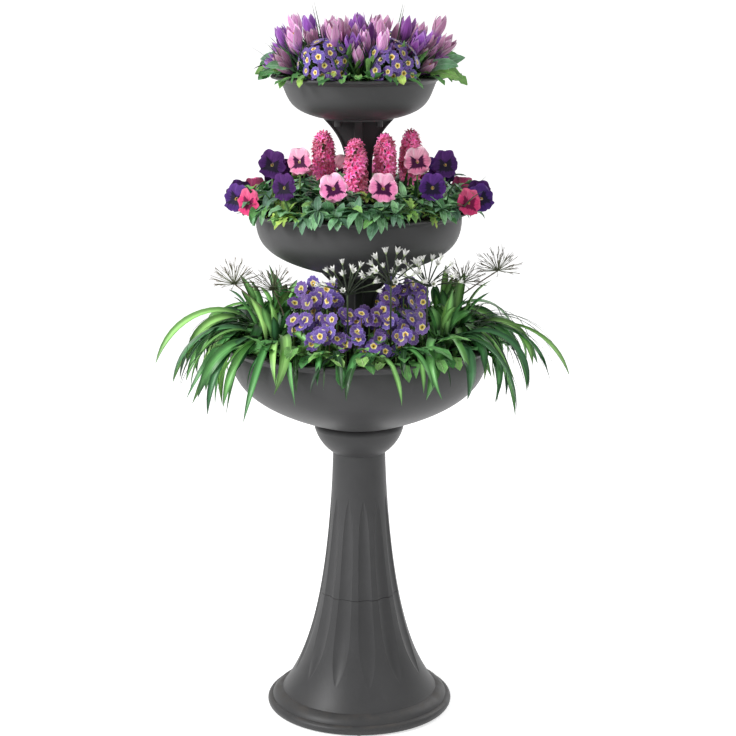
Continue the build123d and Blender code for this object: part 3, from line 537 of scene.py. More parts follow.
def grass_leaf():
    """Thin dark leaf with a pale line along its middle."""
    leaves = bpy.context.scene.planter_leaves
    return leaf_material("grass_leaf", tuple(leaves.grass), (0.20, 0.34, 0.20), 3.0, 0.2, rib=0.45, veins=0.0,
                         tip=0.5, tint=1.1, rough=0.40, relief=0.2)


def crinkled_leaf():
    """Primrose leaf, crinkled between its many side veins."""
    leaves = bpy.context.scene.planter_leaves
    return leaf_material("crinkled_leaf", tuple(leaves.crinkled), (0.36, 0.56, 0.26), 9.0, 0.28, rib=0.75,
                         veins=0.42, edge=0.25, tint=0.85, rough=0.46, relief=0.9)


def oval_leaf():
    """Smooth grey-green leaf with a pale margin."""
    leaves = bpy.context.scene.planter_leaves
    return leaf_material("oval_leaf", tuple(leaves.oval), (0.38, 0.58, 0.42), 5.0, 0.45, rib=0.5, veins=0.22,
                         edge=0.55, tint=1.0, rough=0.42, relief=0.45)


def rosette_leaf():
    """Small yellow-green leaf with pale edges."""
    leaves = bpy.context.scene.planter_leaves
    return leaf_material("rosette_leaf", tuple(leaves.rosette), (0.50, 0.62, 0.22), 4.0, 0.5, rib=0.5,
                         veins=0.2, edge=0.5, tint=1.3, rough=0.45, relief=0.4)


def green_stalk():
    """Round stalk, reddish where its tint is high."""
    leaves = bpy.context.scene.planter_leaves
    base = tuple(leaves.stalk)
    material, w, shader = new_material("green_stalk")
    if w:
        place = w.group(leaf_place()).outputs
        near = w.add("TexCoord").outputs["Object"]
        colour = w.mix(w.noise(near, 120, 3), darker(base, 0.55), darker(base, 1.35))
        colour = w.mix(w.fade(place["Tint"], 0.72, 0.95, 0.0, 0.8), colour, (0.20, 0.060, 0.035))
        w.feed(shader["Base Color"], colour)
        w.feed(shader["Roughness"], w.fade(w.noise(near, 300, 2), 0.2, 0.8, 0.40, 0.62))
        w.feed(shader["Normal"], w.bump(w.noise(near, 500, 2), 0.25, 0.0008))
    return material


def dark_stalk():
    """Near-black spokes of the umbels."""
    material, w, shader = new_material("dark_stalk")
    if w:
        near = w.add("TexCoord").outputs["Object"]
        place = w.group(leaf_place()).outputs
        colour = w.mix(w.noise(near, 200, 2), (0.008, 0.014, 0.008), (0.030, 0.045, 0.018))
        w.feed(shader["Base Color"], w.mix(w.fade(place["Along"], 0.55, 1.0), colour, (0.07, 0.10, 0.05)))
        w.feed(shader["Roughness"], w.fade(w.noise(near, 300, 2), 0.2, 0.8, 0.45, 0.65))
    return material


def seed_stalk():
    """Dry spokes of the seed heads."""
    material, w, shader = new_material("seed_stalk")
    if w:
        near = w.add("TexCoord").outputs["Object"]
        place = w.group(leaf_place()).outputs
        colour = w.mix(w.noise(near, 160, 2), (0.15, 0.18, 0.10), (0.27, 0.29, 0.18))
        w.feed(shader["Base Color"], w.mix(w.fade(place["Along"], 0.35, 0.9), colour, (0.22, 0.16, 0.12)))
        w.feed(shader["Roughness"], w.fade(w.noise(near, 300, 2), 0.2, 0.8, 0.55, 0.75))
    return material


def petal_material(name, base, edge, throat, throat_end, streak, streak_share, count=6.0, edge_share=0.5,
                   rough=0.55, tint=0.6):
    """Petal: throat colour at its root, streaks along it and a lighter margin."""
    material, w, shader = new_material(name)
    if w:
        place = w.group(leaf_place()).outputs
        lines = leaf_streaks(w, place, count)
        colour = w.lay(base, streak, lines["Mask"], streak_share)
        rim = w.math("MAXIMUM", w.fade(place["Edge"], 0.62, 1.0), w.fade(place["Along"], 0.80, 1.0))
        colour = w.lay(colour, edge, rim, edge_share)
        colour = w.mix(w.fade(place["Along"], throat_end, throat_end * 0.35), colour, throat)
        w.feed(shader["Base Color"], leaf_tinted(w, colour, place, tint))
        w.feed(shader["Roughness"], w.fade(lines["Height"], 0.3, 0.7, rough - 0.08, rough + 0.10))
        w.feed(shader["Normal"], w.bump(lines["Height"], 0.4, 0.0008))
        shader["Sheen Weight"].default_value = 0.15
        shader["Specular IOR Level"].default_value = 0.3
    return material


def primrose_petal():
    """Violet petal with a yellow eye that has a white border."""
    base = tuple(bpy.context.scene.planter_flowers.primrose)
    material, w, shader = new_material("primrose_petal")
    if w:
        place = w.group(leaf_place()).outputs
        lines = leaf_streaks(w, place, 6.0)
        colour = w.lay(base, darker(base, 0.45), lines["Mask"], 0.55)
        rim = w.math("MAXIMUM", w.fade(place["Edge"], 0.72, 1.0), w.fade(place["Along"], 0.82, 1.0))
        colour = w.lay(colour, towards(base, (0.62, 0.50, 0.88), 0.6), rim, 0.50)
        reach = w.math("ADD", place["Along"], w.math("MULTIPLY", place["Edge"], 0.10))
        colour = w.mix(w.fade(reach, 0.44, 0.36), colour, darker(base, 0.35))
        colour = w.mix(w.fade(reach, 0.37, 0.33), colour, (0.90, 0.82, 0.50))
        colour = w.mix(w.fade(reach, 0.26, 0.20), colour, (0.84, 0.56, 0.05))
        colour = w.mix(w.fade(reach, 0.12, 0.07), colour, (0.30, 0.22, 0.02))
        w.feed(shader["Base Color"], leaf_tinted(w, colour, place, 0.5))
        w.feed(shader["Roughness"], w.fade(lines["Height"], 0.3, 0.7, 0.50, 0.68))
        w.feed(shader["Normal"], w.bump(lines["Height"], 0.4, 0.0008))
        shader["Sheen Weight"].default_value = 0.2
    return material


def pansy_petal(name, base, blotch, blotch_end, pale):
    """Pansy petal: dark blotch that frays outwards into lines, yellow throat, paler margin."""
    material, w, shader = new_material(name)
    if w:
        place = w.group(leaf_place()).outputs
        lines = leaf_streaks(w, place, 8.0)
        colour = w.lay(base, darker(base, 0.55), lines["Mask"], 0.45)
        rim = w.math("MAXIMUM", w.fade(place["Edge"], 0.60, 1.0), w.fade(place["Along"], 0.70, 1.0))
        colour = w.lay(colour, pale, rim, 0.65)
        frayed = w.math("SUBTRACT", place["Along"], w.math("MULTIPLY", lines["Mask"], 0.16))
        colour = w.mix(w.fade(frayed, blotch_end, blotch_end - 0.16), colour, blotch)
        throat = w.math("ADD", place["Along"], w.math("MULTIPLY", place["Edge"], 0.06))
        colour = w.mix(w.fade(throat, 0.04, 0.02), colour, (0.86, 0.62, 0.20))
        w.feed(shader["Base Color"], leaf_tinted(w, colour, place, 0.6))
        w.feed(shader["Roughness"], w.fade(lines["Height"], 0.3, 0.7, 0.52, 0.72))
        w.feed(shader["Normal"], w.bump(lines["Height"], 0.5, 0.001))
        shader["Sheen Weight"].default_value = 0.05
        shader["Specular IOR Level"].default_value = 0.2
    return material


def saffron():
    """Orange threads of the crocuses and eyes of the pansies."""
    material, w, shader = new_material("saffron_thread")
    if w:
        near = w.add("TexCoord").outputs["Object"]
        w.feed(shader["Base Color"], w.mix(w.noise(near, 400, 2), (0.75, 0.22, 0.015), (0.85, 0.48, 0.05)))
        shader["Roughness"].default_value = 0.6
    return material


# Leaves, petals and stalks

def round_turns(count):
    """Angles of a round with so many sides, back to the first."""
    return [2 * math.pi * k / count for k in range(count + 1)]


class Foliage:
    """Gathers leaves, petals and stalks into one mesh and notes where each point lies on its leaf."""

    def __init__(self, **finishes):
        self.finishes = finishes
        self.order = {finish: i for i, finish in enumerate(finishes)}
        self.points = []
        self.places = []
        self.faces = []
        self.kinds = []

    def sheet(self, rows, tint, finish):
        """Leaf or petal as rows of points, each from edge to edge."""
        start = len(self.points)
        across = len(rows[0])
        for i, row in enumerate(rows):
            for j, point in enumerate(row):
                self.points.append(point)
                self.places.append((j / (across - 1), i / (len(rows) - 1), tint))
        for i in range(len(rows) - 1):
            for j in range(across - 1):
                a = start + i * across + j
                self.faces.append((a, a + 1, a + 1 + across, a + across))
                self.kinds.append(self.order[finish])

    def stalk(self, path, radius, tip_radius, tint, finish, sides=5):
        """Round stalk along a path, from one radius to another."""
        rows = []
        for i, point in enumerate(path):
            ahead = path[min(i + 1, len(path) - 1)] - path[max(i - 1, 0)]
            side = ahead.cross(UP)
            side = side.normalized() if side.length > 1e-9 else Vector((1, 0, 0))
            other = ahead.cross(side).normalized()
            size = radius + (tip_radius - radius) * i / (len(path) - 1)
            rows.append([point + side * (size * math.cos(a)) + other * (size * math.sin(a))
                         for a in round_turns(sides)])
        self.sheet(rows, tint, finish)

    def bead(self, centre, radius, tint, finish):
        """Small crumb or bud."""
        rows = []
        for i in range(4):
            rise = -math.pi / 2 + math.pi * (i + 0.15) / 3.3
            ring = radius * math.cos(rise)
            rows.append([centre + Vector((ring * math.cos(a), ring * math.sin(a), radius * math.sin(rise)))
                         for a in round_turns(5)])
        self.sheet(rows, tint, finish)

    def plant(self, name, tier, slot, *replaced):
        """The finished piece, on its tier, in place of its solids."""
        mesh = bpy.data.meshes.new(name)
        mesh.from_pydata(self.points, [], self.faces)
        for material in self.finishes.values():
            mesh.materials.append(material)
        mesh.polygons.foreach_set("material_index", self.kinds)
        stored = mesh.attributes.new("place", "FLOAT_VECTOR", "POINT")
        stored.data.foreach_set("vector", [x for place in self.places for x in place])
        mesh.shade_smooth()
        mesh.update()
        piece = bpy.data.objects.new(name, mesh)
        bpy.context.scene.collection.objects.link(piece)
        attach(piece, tier.body)
        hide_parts(*replaced)


# Half width of a leaf along its length, from 0 at the root to 1 at the tip

def strap_outline(t):
    return min(1.0, 0.55 + 1.8 * t) * max(0.04, 1 - max(0.0, (t - 0.55) / 0.45) ** 2.0)


def grass_outline(t):
    return max(0.06, 1 - t ** 2.5)


def oval_outline(t):
    return max(0.05, math.sin(math.pi * min(1.0, 0.04 + 0.96 * t ** 0.85)) ** 0.75)


def spoon_outline(t):
    return max(0.05, (0.16 + 0.84 * t ** 1.2) * (1 - max(0.0, (t - 0.62) / 0.38) ** 2.6))


def lobed_outline(t):
    return max(0.05, oval_outline(t) * (0.74 + 0.26 * math.cos(7 * math.pi * t)))


def leaf(root, azimuth, lift, bend, length, width, outline, fold, steps=8, across=5, ruffle=0.0, roll=0.0,
         sway=0.0, droop=1.3, phase=0.0):
    """Rows of one leaf that sets off from its root at a lift angle and bends down along its length."""
    out = outward(azimuth)
    side = Vector((math.cos(azimuth), math.sin(azimuth), 0))
    rows = []
    point = Vector(root)
    step = length / (steps - 1)
    for i in range(steps):
        t = i / (steps - 1)
        angle = lift - bend * t ** droop
        if i:
            ahead = out * math.cos(angle) + UP * math.sin(angle)
            point = point + ahead * step + side * (sway * step * t)
        normal = UP * math.cos(angle) - out * math.sin(angle)
        turn = roll * t
        edge = side * math.cos(turn) + normal * math.sin(turn)
        face = normal * math.cos(turn) - side * math.sin(turn)
        half = width / 2 * outline(t)
        row = []
        for j in range(across):
            u = 2 * j / (across - 1) - 1
            wave = ruffle * half * u * u * math.sin(phase + 19 * t + (1.3 if u > 0 else 0))
            row.append(point + edge * (half * u) + face * (fold * half * abs(u) ** 1.4 + wave))
        rows.append(row)
    return rows


# Share of its reach at which a petal starts
PETAL_START = 0.08


def petal(centre, facing, way, reach, half_width, cup, notch, rounding, ruffle, phase, layer, steps=5):
    """Rows of one open petal from a flower's centre out along a way."""
    side = facing.cross(way)
    rows = []
    for i in range(steps):
        t = i / (steps - 1)
        half = half_width * (math.sin(math.pi * min(1.0, 0.10 + 0.56 * t)) if t < 1 else 0.72)
        row = []
        for j in range(steps):
            u = 2 * j / (steps - 1) - 1
            dip = notch * max(0.0, 1 - 2.4 * abs(u)) * t ** 4 + rounding * u * u * t * t
            far = reach * (PETAL_START + (1 - PETAL_START) * t) * (1 - dip)
            rise = reach * (cup * t - cup * 0.75 * t * t)
            rise += ruffle * reach * t ** 3 * math.sin(phase + 4.2 * u)
            row.append(centre + way * far + side * (half * u) + facing * (rise + layer))
        rows.append(row)
    return rows


def facing_frame(azimuth, tilt):
    """The way an open flower faces, and the directions along its face to its top and its side."""
    facing = outward(azimuth) * math.sin(tilt) + UP * math.cos(tilt)
    top = UP * math.sin(tilt) - outward(azimuth) * math.cos(tilt)
    return facing, top, facing.cross(top)


# Height of a primrose's petals above its centre, so that no neighbours lie in one plane
PRIMROSE_LAYERS = (0.0, 0.7 * MM, 0.0, 0.7 * MM, 0.3 * MM)


def add_primrose(foliage, centre, azimuth, tilt, radius, spin, tint):
    """Five notched petals."""
    facing, top, side = facing_frame(azimuth, tilt)
    for k, layer in enumerate(PRIMROSE_LAYERS):
        a = spin + 2 * math.pi * k / 5
        way = top * math.cos(a) + side * math.sin(a)
        rows = petal(centre, facing, way, radius, radius * 0.56, notch=0.17, rounding=0.10, cup=0.22,
                     ruffle=0.04, phase=spin * 3 + k, layer=layer)
        foliage.sheet(rows, tint, "petal")


# Petals of a pansy: finish, angle from its top, length and width as shares of its radius, layer, notch
PANSY_FACE = (
    ("upper", 27, 1.14, 0.64, -1.6, 0.0), ("upper", -27, 1.14, 0.64, -1.0, 0.0),
    ("lower", 92, 1.0, 0.58, 0.0, 0.0), ("lower", -92, 1.0, 0.58, 0.4, 0.0),
    ("lower", 180, 0.98, 0.80, 1.3, 0.12),
)


def add_pansy(foliage, centre, azimuth, tilt, radius, spin, tint):
    """Five ruffled petals: two behind, two at the sides and a wide one below."""
    facing, top, side = facing_frame(azimuth, tilt)
    for k, (finish, angle, share, width, layer, notch) in enumerate(PANSY_FACE):
        a = math.radians(angle) + spin
        way = top * math.cos(a) + side * math.sin(a)
        rows = petal(centre, facing, way, radius * share, radius * width, steps=7, cup=0.20, notch=notch,
                     rounding=0.26, ruffle=0.10, phase=spin * 5 + 1.7 * k, layer=layer * MM)
        foliage.sheet(rows, tint, finish)


def bent_path(start, end, sag, steps=5):
    """Path from start to end that rises first and leans out later."""
    way = end - start
    bow = Vector((-way.x, -way.y, 0)) * sag
    return [start + way * t + bow * math.sin(math.pi * t) for t in [i / (steps - 1) for i in range(steps)]]


def dome_ways(count, axis, spread):
    """Directions spread evenly about an axis, out to a share of the half globe."""
    axis = axis.normalized()
    side = axis.orthogonal().normalized()
    other = axis.cross(side)
    ways = []
    for k in range(count):
        ahead = 1 - spread * (k + 0.5) / count
        off = math.sqrt(1 - ahead * ahead)
        turn = k * GOLDEN_ANGLE
        ways.append(axis * ahead + (side * math.cos(turn) + other * math.sin(turn)) * off)
    return ways


def scatter(rng, count, inner, outer):
    """Places spread evenly over a ring, as azimuth and radius."""
    places = []
    for i in range(count):
        share = (i + 0.5) / count
        radius = math.sqrt(inner ** 2 + (outer ** 2 - inner ** 2) * share)
        places.append((i * GOLDEN_ANGLE + rng.uniform(-0.2, 0.2), radius))
    return places


def set_leaf(foliage, tier, rng, rows, finish, gap=RIM_GAP):
    """Add a leaf, lifted over the rim, unless it stands in the stem's way or the watering gap."""
    rows = tier.over_rim(rows, gap)
    if tier.keeps_off(rows):
        foliage.sheet(rows, rng.random(), finish)


def strew_leaves(foliage, tier, rng, ring, rise, make, finish):
    """Leaves over a ring of a bed. Rise gives a root's height at a radius, and make gives the leaf."""
    count, inner, outer = ring
    for azimuth, radius in scatter(rng, count, inner * MM, outer * MM):
        rows = make(polar(azimuth, radius, rise(radius)), azimuth)
        set_leaf(foliage, tier, rng, rows, finish)


def stand_clear(tier, point, margin):
    """Whether a flower leaves the watering gap free."""
    return abs(point.x) > NOTCH_HALF + margin or point.y < tier.inner - NOTCH_DEPTH - margin


# Pots, fittings and soil

POTS = ("base_skirt", "column_upper", "capital_cup", "large_bowl", "medium_bowl", "small_bowl", "lower_stem",
        "upper_stem")
RUBBERS = ("foot_pads", "large_bowl_washers", "medium_bowl_washers", "small_bowl_washers", "large_drain_plug",
           "medium_drain_plug", "small_drain_plug")
SCREWS = ("large_bowl_screws", "medium_bowl_screws", "small_bowl_screws")
SOIL_RINGS = 30
SOIL_SECTORS = 108
SOIL_DEPTH = 9 * MM
SOIL_UNEVENNESS = 4 * MM
SOIL_SINK = 2.2 * MM
SOIL_CRUMBS = 260


def dress(names, material):
    for name in names:
        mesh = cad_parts[name].data
        mesh.materials.clear()
        mesh.materials.append(material)


class PLANTER_OT_finish_pots(bpy.types.Operator):
    """Give the pedestal, bowls and stems their moulded finish"""
    bl_idname = "planter.finish_pots"
    bl_label = "Finish pots"

    def execute(self, context):
        dress(POTS, moulded_plastic())
        return {"FINISHED"}


class PLANTER_OT_finish_fittings(bpy.types.Operator):
    """Give pads, washers, plugs and screws their finish"""
    bl_idname = "planter.finish_fittings"
    bl_label = "Finish fittings"

    def execute(self, context):
        dress(RUBBERS, soft_rubber())
        dress(SCREWS, plated_steel())
        return {"FINISHED"}


class PLANTER_OT_lay_soil(bpy.types.Operator):
    """Fill the bowls with crumbly soil"""
    bl_idname = "planter.lay_soil"
    bl_label = "Lay soil"

    def execute(self, context):
        for tier, name in ((LARGE, "large_soil"), (MEDIUM, "medium_soil"), (SMALL, "small_soil")):
            self.lay(tier, name)
        return {"FINISHED"}

    def lay(self, tier, name):
        """Uneven top with its edges turned down, and loose crumbs on it."""
        rng = random.Random(name)
        foliage = Foliage(soil=potting_soil())
        inner = tier.way - 1 * MM if tier.way else 1 * MM
        outer = tier.inner - 0.6 * MM
        deep = tier.soil - SOIL_DEPTH
        rows = [[polar(a, inner, deep) for a in round_turns(SOIL_SECTORS)]]
        for i in range(SOIL_RINGS):
            radius = inner + (outer - inner) * i / (SOIL_RINGS - 1)
            row = []
            for k in range(SOIL_SECTORS + 1):
                p = polar(2 * math.pi * (k % SOIL_SECTORS) / SOIL_SECTORS, radius, tier.soil)
                p.z += SOIL_UNEVENNESS * noise.fractal(p * 45, 1.0, 2.0, 4) - SOIL_SINK
                row.append(p)
            rows.append(row)
        rows.append([polar(a, outer - 3 * MM, deep) for a in round_turns(SOIL_SECTORS)])
        foliage.sheet(rows, 0.5, "soil")
        for azimuth, radius in scatter(rng, SOIL_CRUMBS, inner + 6 * MM, outer - 6 * MM):
            size = rng.uniform(1.2, 3.6) * MM
            place = polar(azimuth + rng.uniform(0, 6), radius, tier.soil - 0.8 * MM)
            foliage.bead(place, size, rng.random(), "soil")
        foliage.plant(name + "_crumbs", tier, "soil", name)


# Top tier

# Leaves of the bed: their number, and the inner and outer radius of their ring in millimetres
TOP_BLADES = (210, 6, 122)
TOP_TALL_LEAVES = (90, 6, 112)
TOP_LOW_LEAVES = (130, 20, 140)
TOP_DARK_LEAVES = (80, 6, 100)
# Bearings of the longest blades, in radians
TOP_LONG_BLADES = (-0.95, 0.95, 2.2, -2.2)
TOP_EDGE_LEAVES = 52
# Leaves over the rim at the sides, in turn: finish, width in millimetres and outline
SIDE_LEAVES = (("oval", 24, oval_outline), ("crinkled", 32, lobed_outline), ("crinkled", 28, spoon_outline),
               ("grass", 6, grass_outline))


class PLANTER_OT_plant_top_leaves(bpy.types.Operator):
    """Plant the leaves of the small bowl"""
    bl_idname = "planter.plant_top_leaves"
    bl_label = "Top tier leaves"

    def execute(self, context):
        rng = random.Random(11)
        foliage = Foliage(grass=grass_leaf(), crinkled=crinkled_leaf(), oval=oval_leaf(),
                          rosette=rosette_leaf())
        tier = SMALL

        def ground(r):
            return tier.soil + 2 * MM

        def mound(r):
            return tier.soil + 6 * MM + 16 * MM * (1 - r / tier.inner)

        def blade(root, azimuth):
            out = math.hypot(root.x, root.y) / tier.inner
            return leaf(root, azimuth + rng.uniform(-0.9, 0.9), 1.5 - 0.6 * out + rng.uniform(-0.12, 0.12),
                        rng.uniform(0.1, 0.7), (rng.uniform(88, 126) - 24 * out) * MM,
                        rng.uniform(3.6, 5.2) * MM, grass_outline, steps=7, across=3, fold=0.4,
                        sway=rng.uniform(-0.2, 0.2))

        def low(root, azimuth):
            return leaf(root, azimuth + rng.uniform(-0.8, 0.8), rng.uniform(0.3, 1.0), rng.uniform(0.6, 1.5),
                        rng.uniform(34, 52) * MM, rng.uniform(15, 22) * MM, spoon_outline, steps=7,
                        ruffle=0.18, fold=0.3, phase=rng.uniform(0, 6))

        def tall(root, azimuth):
            return leaf(root, azimuth + rng.uniform(-0.9, 0.9), rng.uniform(1.0, 1.45), rng.uniform(0.2, 0.9),
                        rng.uniform(50, 84) * MM, rng.uniform(9, 15) * MM, spoon_outline, steps=8,
                        ruffle=0.12, fold=0.4, phase=rng.uniform(0, 6))

        strew_leaves(foliage, tier, rng, TOP_BLADES, ground, blade, "grass")
        for azimuth in TOP_LONG_BLADES:
            rows = leaf(polar(azimuth, 70 * MM, tier.soil), azimuth, 1.45, 0.15, 138 * MM, 5.0 * MM,
                        grass_outline, across=3, fold=0.4)
            foliage.sheet(rows, rng.random(), "grass")
        strew_leaves(foliage, tier, rng, TOP_TALL_LEAVES, ground, tall, "crinkled")
        strew_leaves(foliage, tier, rng, TOP_LOW_LEAVES, mound, low, "crinkled")
        self.edge_leaves(foliage, tier, rng)
        strew_leaves(foliage, tier, rng, TOP_DARK_LEAVES, ground, tall, "grass")
        foliage.plant("top_leaves", tier, "leaf", "small_leaf_bed")
        return {"FINISHED"}

    def edge_leaves(self, foliage, tier, rng):
        """Leaves over the rim: small ones in front and behind, long turned ones at the sides."""
        for k in range(TOP_EDGE_LEAVES):
            azimuth = 2 * math.pi * (k + rng.uniform(-0.3, 0.3)) / TOP_EDGE_LEAVES
            root = polar(azimuth, tier.radius - rng.uniform(20, 32) * MM, tier.rim + rng.uniform(2, 8) * MM)
            if abs(math.sin(azimuth)) > 0.76:
                finish, width, outline = SIDE_LEAVES[k % 4]
                rows = leaf(root, azimuth + rng.uniform(-0.6, 0.6), rng.uniform(0.15, 0.9),
                            rng.uniform(0.6, 1.3), rng.uniform(46, 70) * MM, width * MM, outline, steps=12,
                            ruffle=0.18, fold=0.2,
                            roll=math.copysign(rng.uniform(0.9, 2.0), math.sin(2 * azimuth)),
                            phase=rng.uniform(0, 6))
            else:
                finish = ("crinkled", "rosette", "crinkled")[k % 3]
                rows = leaf(root, azimuth + rng.uniform(-0.8, 0.8), rng.uniform(0.1, 0.7),
                            rng.uniform(0.9, 1.8), rng.uniform(30, 48) * MM, rng.uniform(13, 21) * MM,
                            (spoon_outline, lobed_outline)[k % 2], steps=9, ruffle=0.25, fold=0.3,
                            roll=rng.uniform(-0.6, 0.6), phase=rng.uniform(0, 6))
            set_leaf(foliage, tier, rng, rows, finish)


# Crocuses between the rings: their number and their turn in radians
STRAY_CROCUSES = {"lilac": (32, 0.7), "purple": (16, 2.1)}
STRAY_REACH = 112 * MM
# Bearings of crocuses that lean out at the sides, in degrees
LEANING_CROCUSES = {"lilac": (62, 74, 100), "purple": (66, 86)}
LEANING_RADIUS = 104 * MM


class PLANTER_OT_plant_crocuses(bpy.types.Operator):
    """Plant lilac and purple crocuses in the small bowl"""
    bl_idname = "planter.plant_crocuses"
    bl_label = "Crocuses"

    def execute(self, context):
        flowers = context.scene.planter_flowers
        light = tuple(flowers.lilac)
        dark = tuple(flowers.purple)
        lilac = petal_material("crocus_petal_lilac", light, towards(light, (0.98, 0.88, 0.95), 0.75),
                               towards(light, dark, 0.75), 0.46, darker(light, 0.42), 0.85, edge_share=0.75)
        purple = petal_material("crocus_petal_purple", dark, towards(dark, (0.85, 0.62, 0.92), 0.55),
                                darker(dark, 0.5), 0.46, darker(dark, 0.45), 0.8, edge_share=0.6)
        self.plant("lilac", lilac, flowers.crocus_height)
        self.plant("purple", purple, flowers.crocus_height)
        return {"FINISHED"}

    def plant(self, colour, petal_finish, height):
        tier = SMALL
        rng = random.Random(colour)
        foliage = Foliage(petal=petal_finish, stalk=green_stalk(), saffron=saffron())
        for count, inset, lean in CROCUS_RINGS:
            for k in range(count):
                azimuth = 2 * math.pi * (k + 0.5) / count
                if (k % 3 == 1) != (colour == "purple"):
                    continue
                root = polar(azimuth, tier.radius - inset * MM, tier.soil)
                if stand_clear(tier, root, 10 * MM):
                    stalk = (66 + rng.uniform(-14, 4 + inset * 0.09)) * MM
                    self.crocus(foliage, rng, root, azimuth, math.radians(lean), stalk, height)
        count, turn = STRAY_CROCUSES[colour]
        for azimuth, radius in scatter(rng, count, 14 * MM, STRAY_REACH):
            share = radius / STRAY_REACH
            lean = math.radians(4 + 32 * share) * rng.uniform(0.7, 1.3)
            stalk = (rng.uniform(38, 70) - 16 * share) * MM
            self.stray(foliage, rng, azimuth + turn, radius, lean, stalk, height * rng.uniform(0.78, 1.0))
        for bearing in LEANING_CROCUSES[colour]:
            for azimuth in (bearing, -bearing, 180 - bearing, bearing - 180):
                self.stray(foliage, rng, math.radians(azimuth + rng.uniform(-5, 5)), LEANING_RADIUS,
                           math.radians(rng.uniform(46, 60)), rng.uniform(20, 30) * MM, height * 0.85)
        for azimuth, radius, lean, stalk in MIDDLE_CROCUSES[colour]:
            for bearing in (azimuth, 180 + azimuth):
                self.stray(foliage, rng, math.radians(bearing), radius * MM, math.radians(lean), stalk * MM,
                           height)
        foliage.plant(colour + "_crocus_cups", tier, "crocus_" + colour, colour + "_crocuses")

    def stray(self, foliage, rng, azimuth, radius, lean, stalk, height):
        """One more crocus, unless it stands in the watering gap or among the primroses."""
        root = polar(azimuth, radius, SMALL.soil)
        tip = root + outward(azimuth) * (math.sin(lean) * (stalk + height))
        beside = abs(abs(tip.x) - POSY_MIDDLE.x) < POSY_REACH.x
        in_posy = beside and abs(tip.y) > POSY_MIDDLE.y - POSY_REACH.y
        if not in_posy and stand_clear(SMALL, root, 14 * MM) and stand_clear(SMALL, tip, 14 * MM):
            self.crocus(foliage, rng, root, azimuth, lean, stalk, height)

    def crocus(self, foliage, rng, root, azimuth, lean, stalk, height):
        """Cup of three outer and three inner pointed petals on its stalk."""
        axis = outward(azimuth) * math.sin(lean) + UP * math.cos(lean)
        across = Vector((math.cos(azimuth), math.sin(azimuth), 0))
        ahead = across.cross(axis)
        foot = root + axis * stalk
        tint = rng.random()
        spin = rng.uniform(0, 2)
        opening = rng.random()
        widest = height * (0.21 + 0.10 * opening)
        foliage.stalk([root + UP * MM, root + axis * stalk * 0.5, foot], 1.8 * MM, 2.2 * MM, 0.2, "stalk")
        for k in range(6):
            middle = spin + math.pi * k / 3
            inner = k % 2
            tall = height * (1 - 0.05 * inner) * rng.uniform(0.93, 1.03)
            rows = []
            for i in range(9):
                t = i / 8
                belly = math.sin(math.pi * (0.05 + (0.78 - 0.26 * opening) * t)) ** 0.8
                radius = widest * belly * (1 - 0.12 * inner)
                half = widest * 0.84 * math.sin(math.pi * min(1.0, 0.10 + 0.88 * t ** 0.8))
                row = []
                for j in range(5):
                    u = j / 2 - 1
                    a = middle + u * min(1.1, half / radius)
                    out = across * math.cos(a) + ahead * math.sin(a)
                    row.append(foot + axis * (tall * t) + out * (radius * (1 + 0.06 * abs(u) * t)))
                rows.append(row)
            foliage.sheet(rows, min(1.0, max(0.0, tint + rng.uniform(-0.2, 0.2))), "petal")
        thread = [foot + axis * 2 * MM, foot + axis * height * 0.72]
        foliage.stalk(thread, 1.1 * MM, 1.6 * MM, 0.5, "saffron", sides=4)


POSY_FLOWERS = 24


class PLANTER_OT_plant_posies(bpy.types.Operator):
    """Plant primroses along the small bowl's rim"""
    bl_idname = "planter.plant_posies"
    bl_label = "Top tier primroses"

    def execute(self, context):
        rng = random.Random(5)
        tier = SMALL
        radius = context.scene.planter_flowers.primrose_radius * 0.86
        foliage = Foliage(petal=primrose_petal(), stalk=green_stalk())
        for side, front in ((-1, -1), (1, -1), (-1, 1), (1, 1)):
            middle = Vector((side * POSY_MIDDLE.x, front * POSY_MIDDLE.y, tier.rim + POSY_MIDDLE.z))
            for way in dome_ways(POSY_FLOWERS, Vector((0.15 * side, front, 0.60)), 0.86):
                reach = rng.uniform(0.9, 1.05)
                centre = middle + Vector(a * b * reach for a, b in zip(way, POSY_REACH))
                centre.z = max(centre.z, tier.rim + 7 * MM)
                if not stand_clear(tier, centre, radius):
                    continue
                face = math.atan2(way.x, -way.y) + rng.uniform(-0.35, 0.35)
                tilt = min(1.5, max(0.5, math.acos(way.z) + rng.uniform(-0.25, 0.25)))
                add_primrose(foliage, centre, face, tilt, radius * rng.uniform(0.84, 1.04),
                             rng.uniform(0, 1.2), rng.random())
                foot = Vector((middle.x, middle.y * 0.86, tier.soil + MM))
                path = bent_path(foot, centre - way * MM, 0.1)
                foliage.stalk(path, 1.2 * MM, 1.0 * MM, rng.random(), "stalk")
        foliage.plant("top_primrose_flowers", tier, "primrose", "small_primroses")
        return {"FINISHED"}


# Middle tier

# Leaves of the bed: their number, and the inner and outer radius of their ring in millimetres
MIDDLE_OVAL_LEAVES = (250, 62, 184)
MIDDLE_CRINKLED_LEAVES = (130, 64, 186)
MIDDLE_DARK_LEAVES = (46, 66, 186)
MIDDLE_SHOOTS = 76
SHOOT_LEAVES = 9
SHOOT_FINISHES = ("oval", "rosette", "oval", "rosette", "oval")
MIDDLE_EDGE_LEAVES = 72


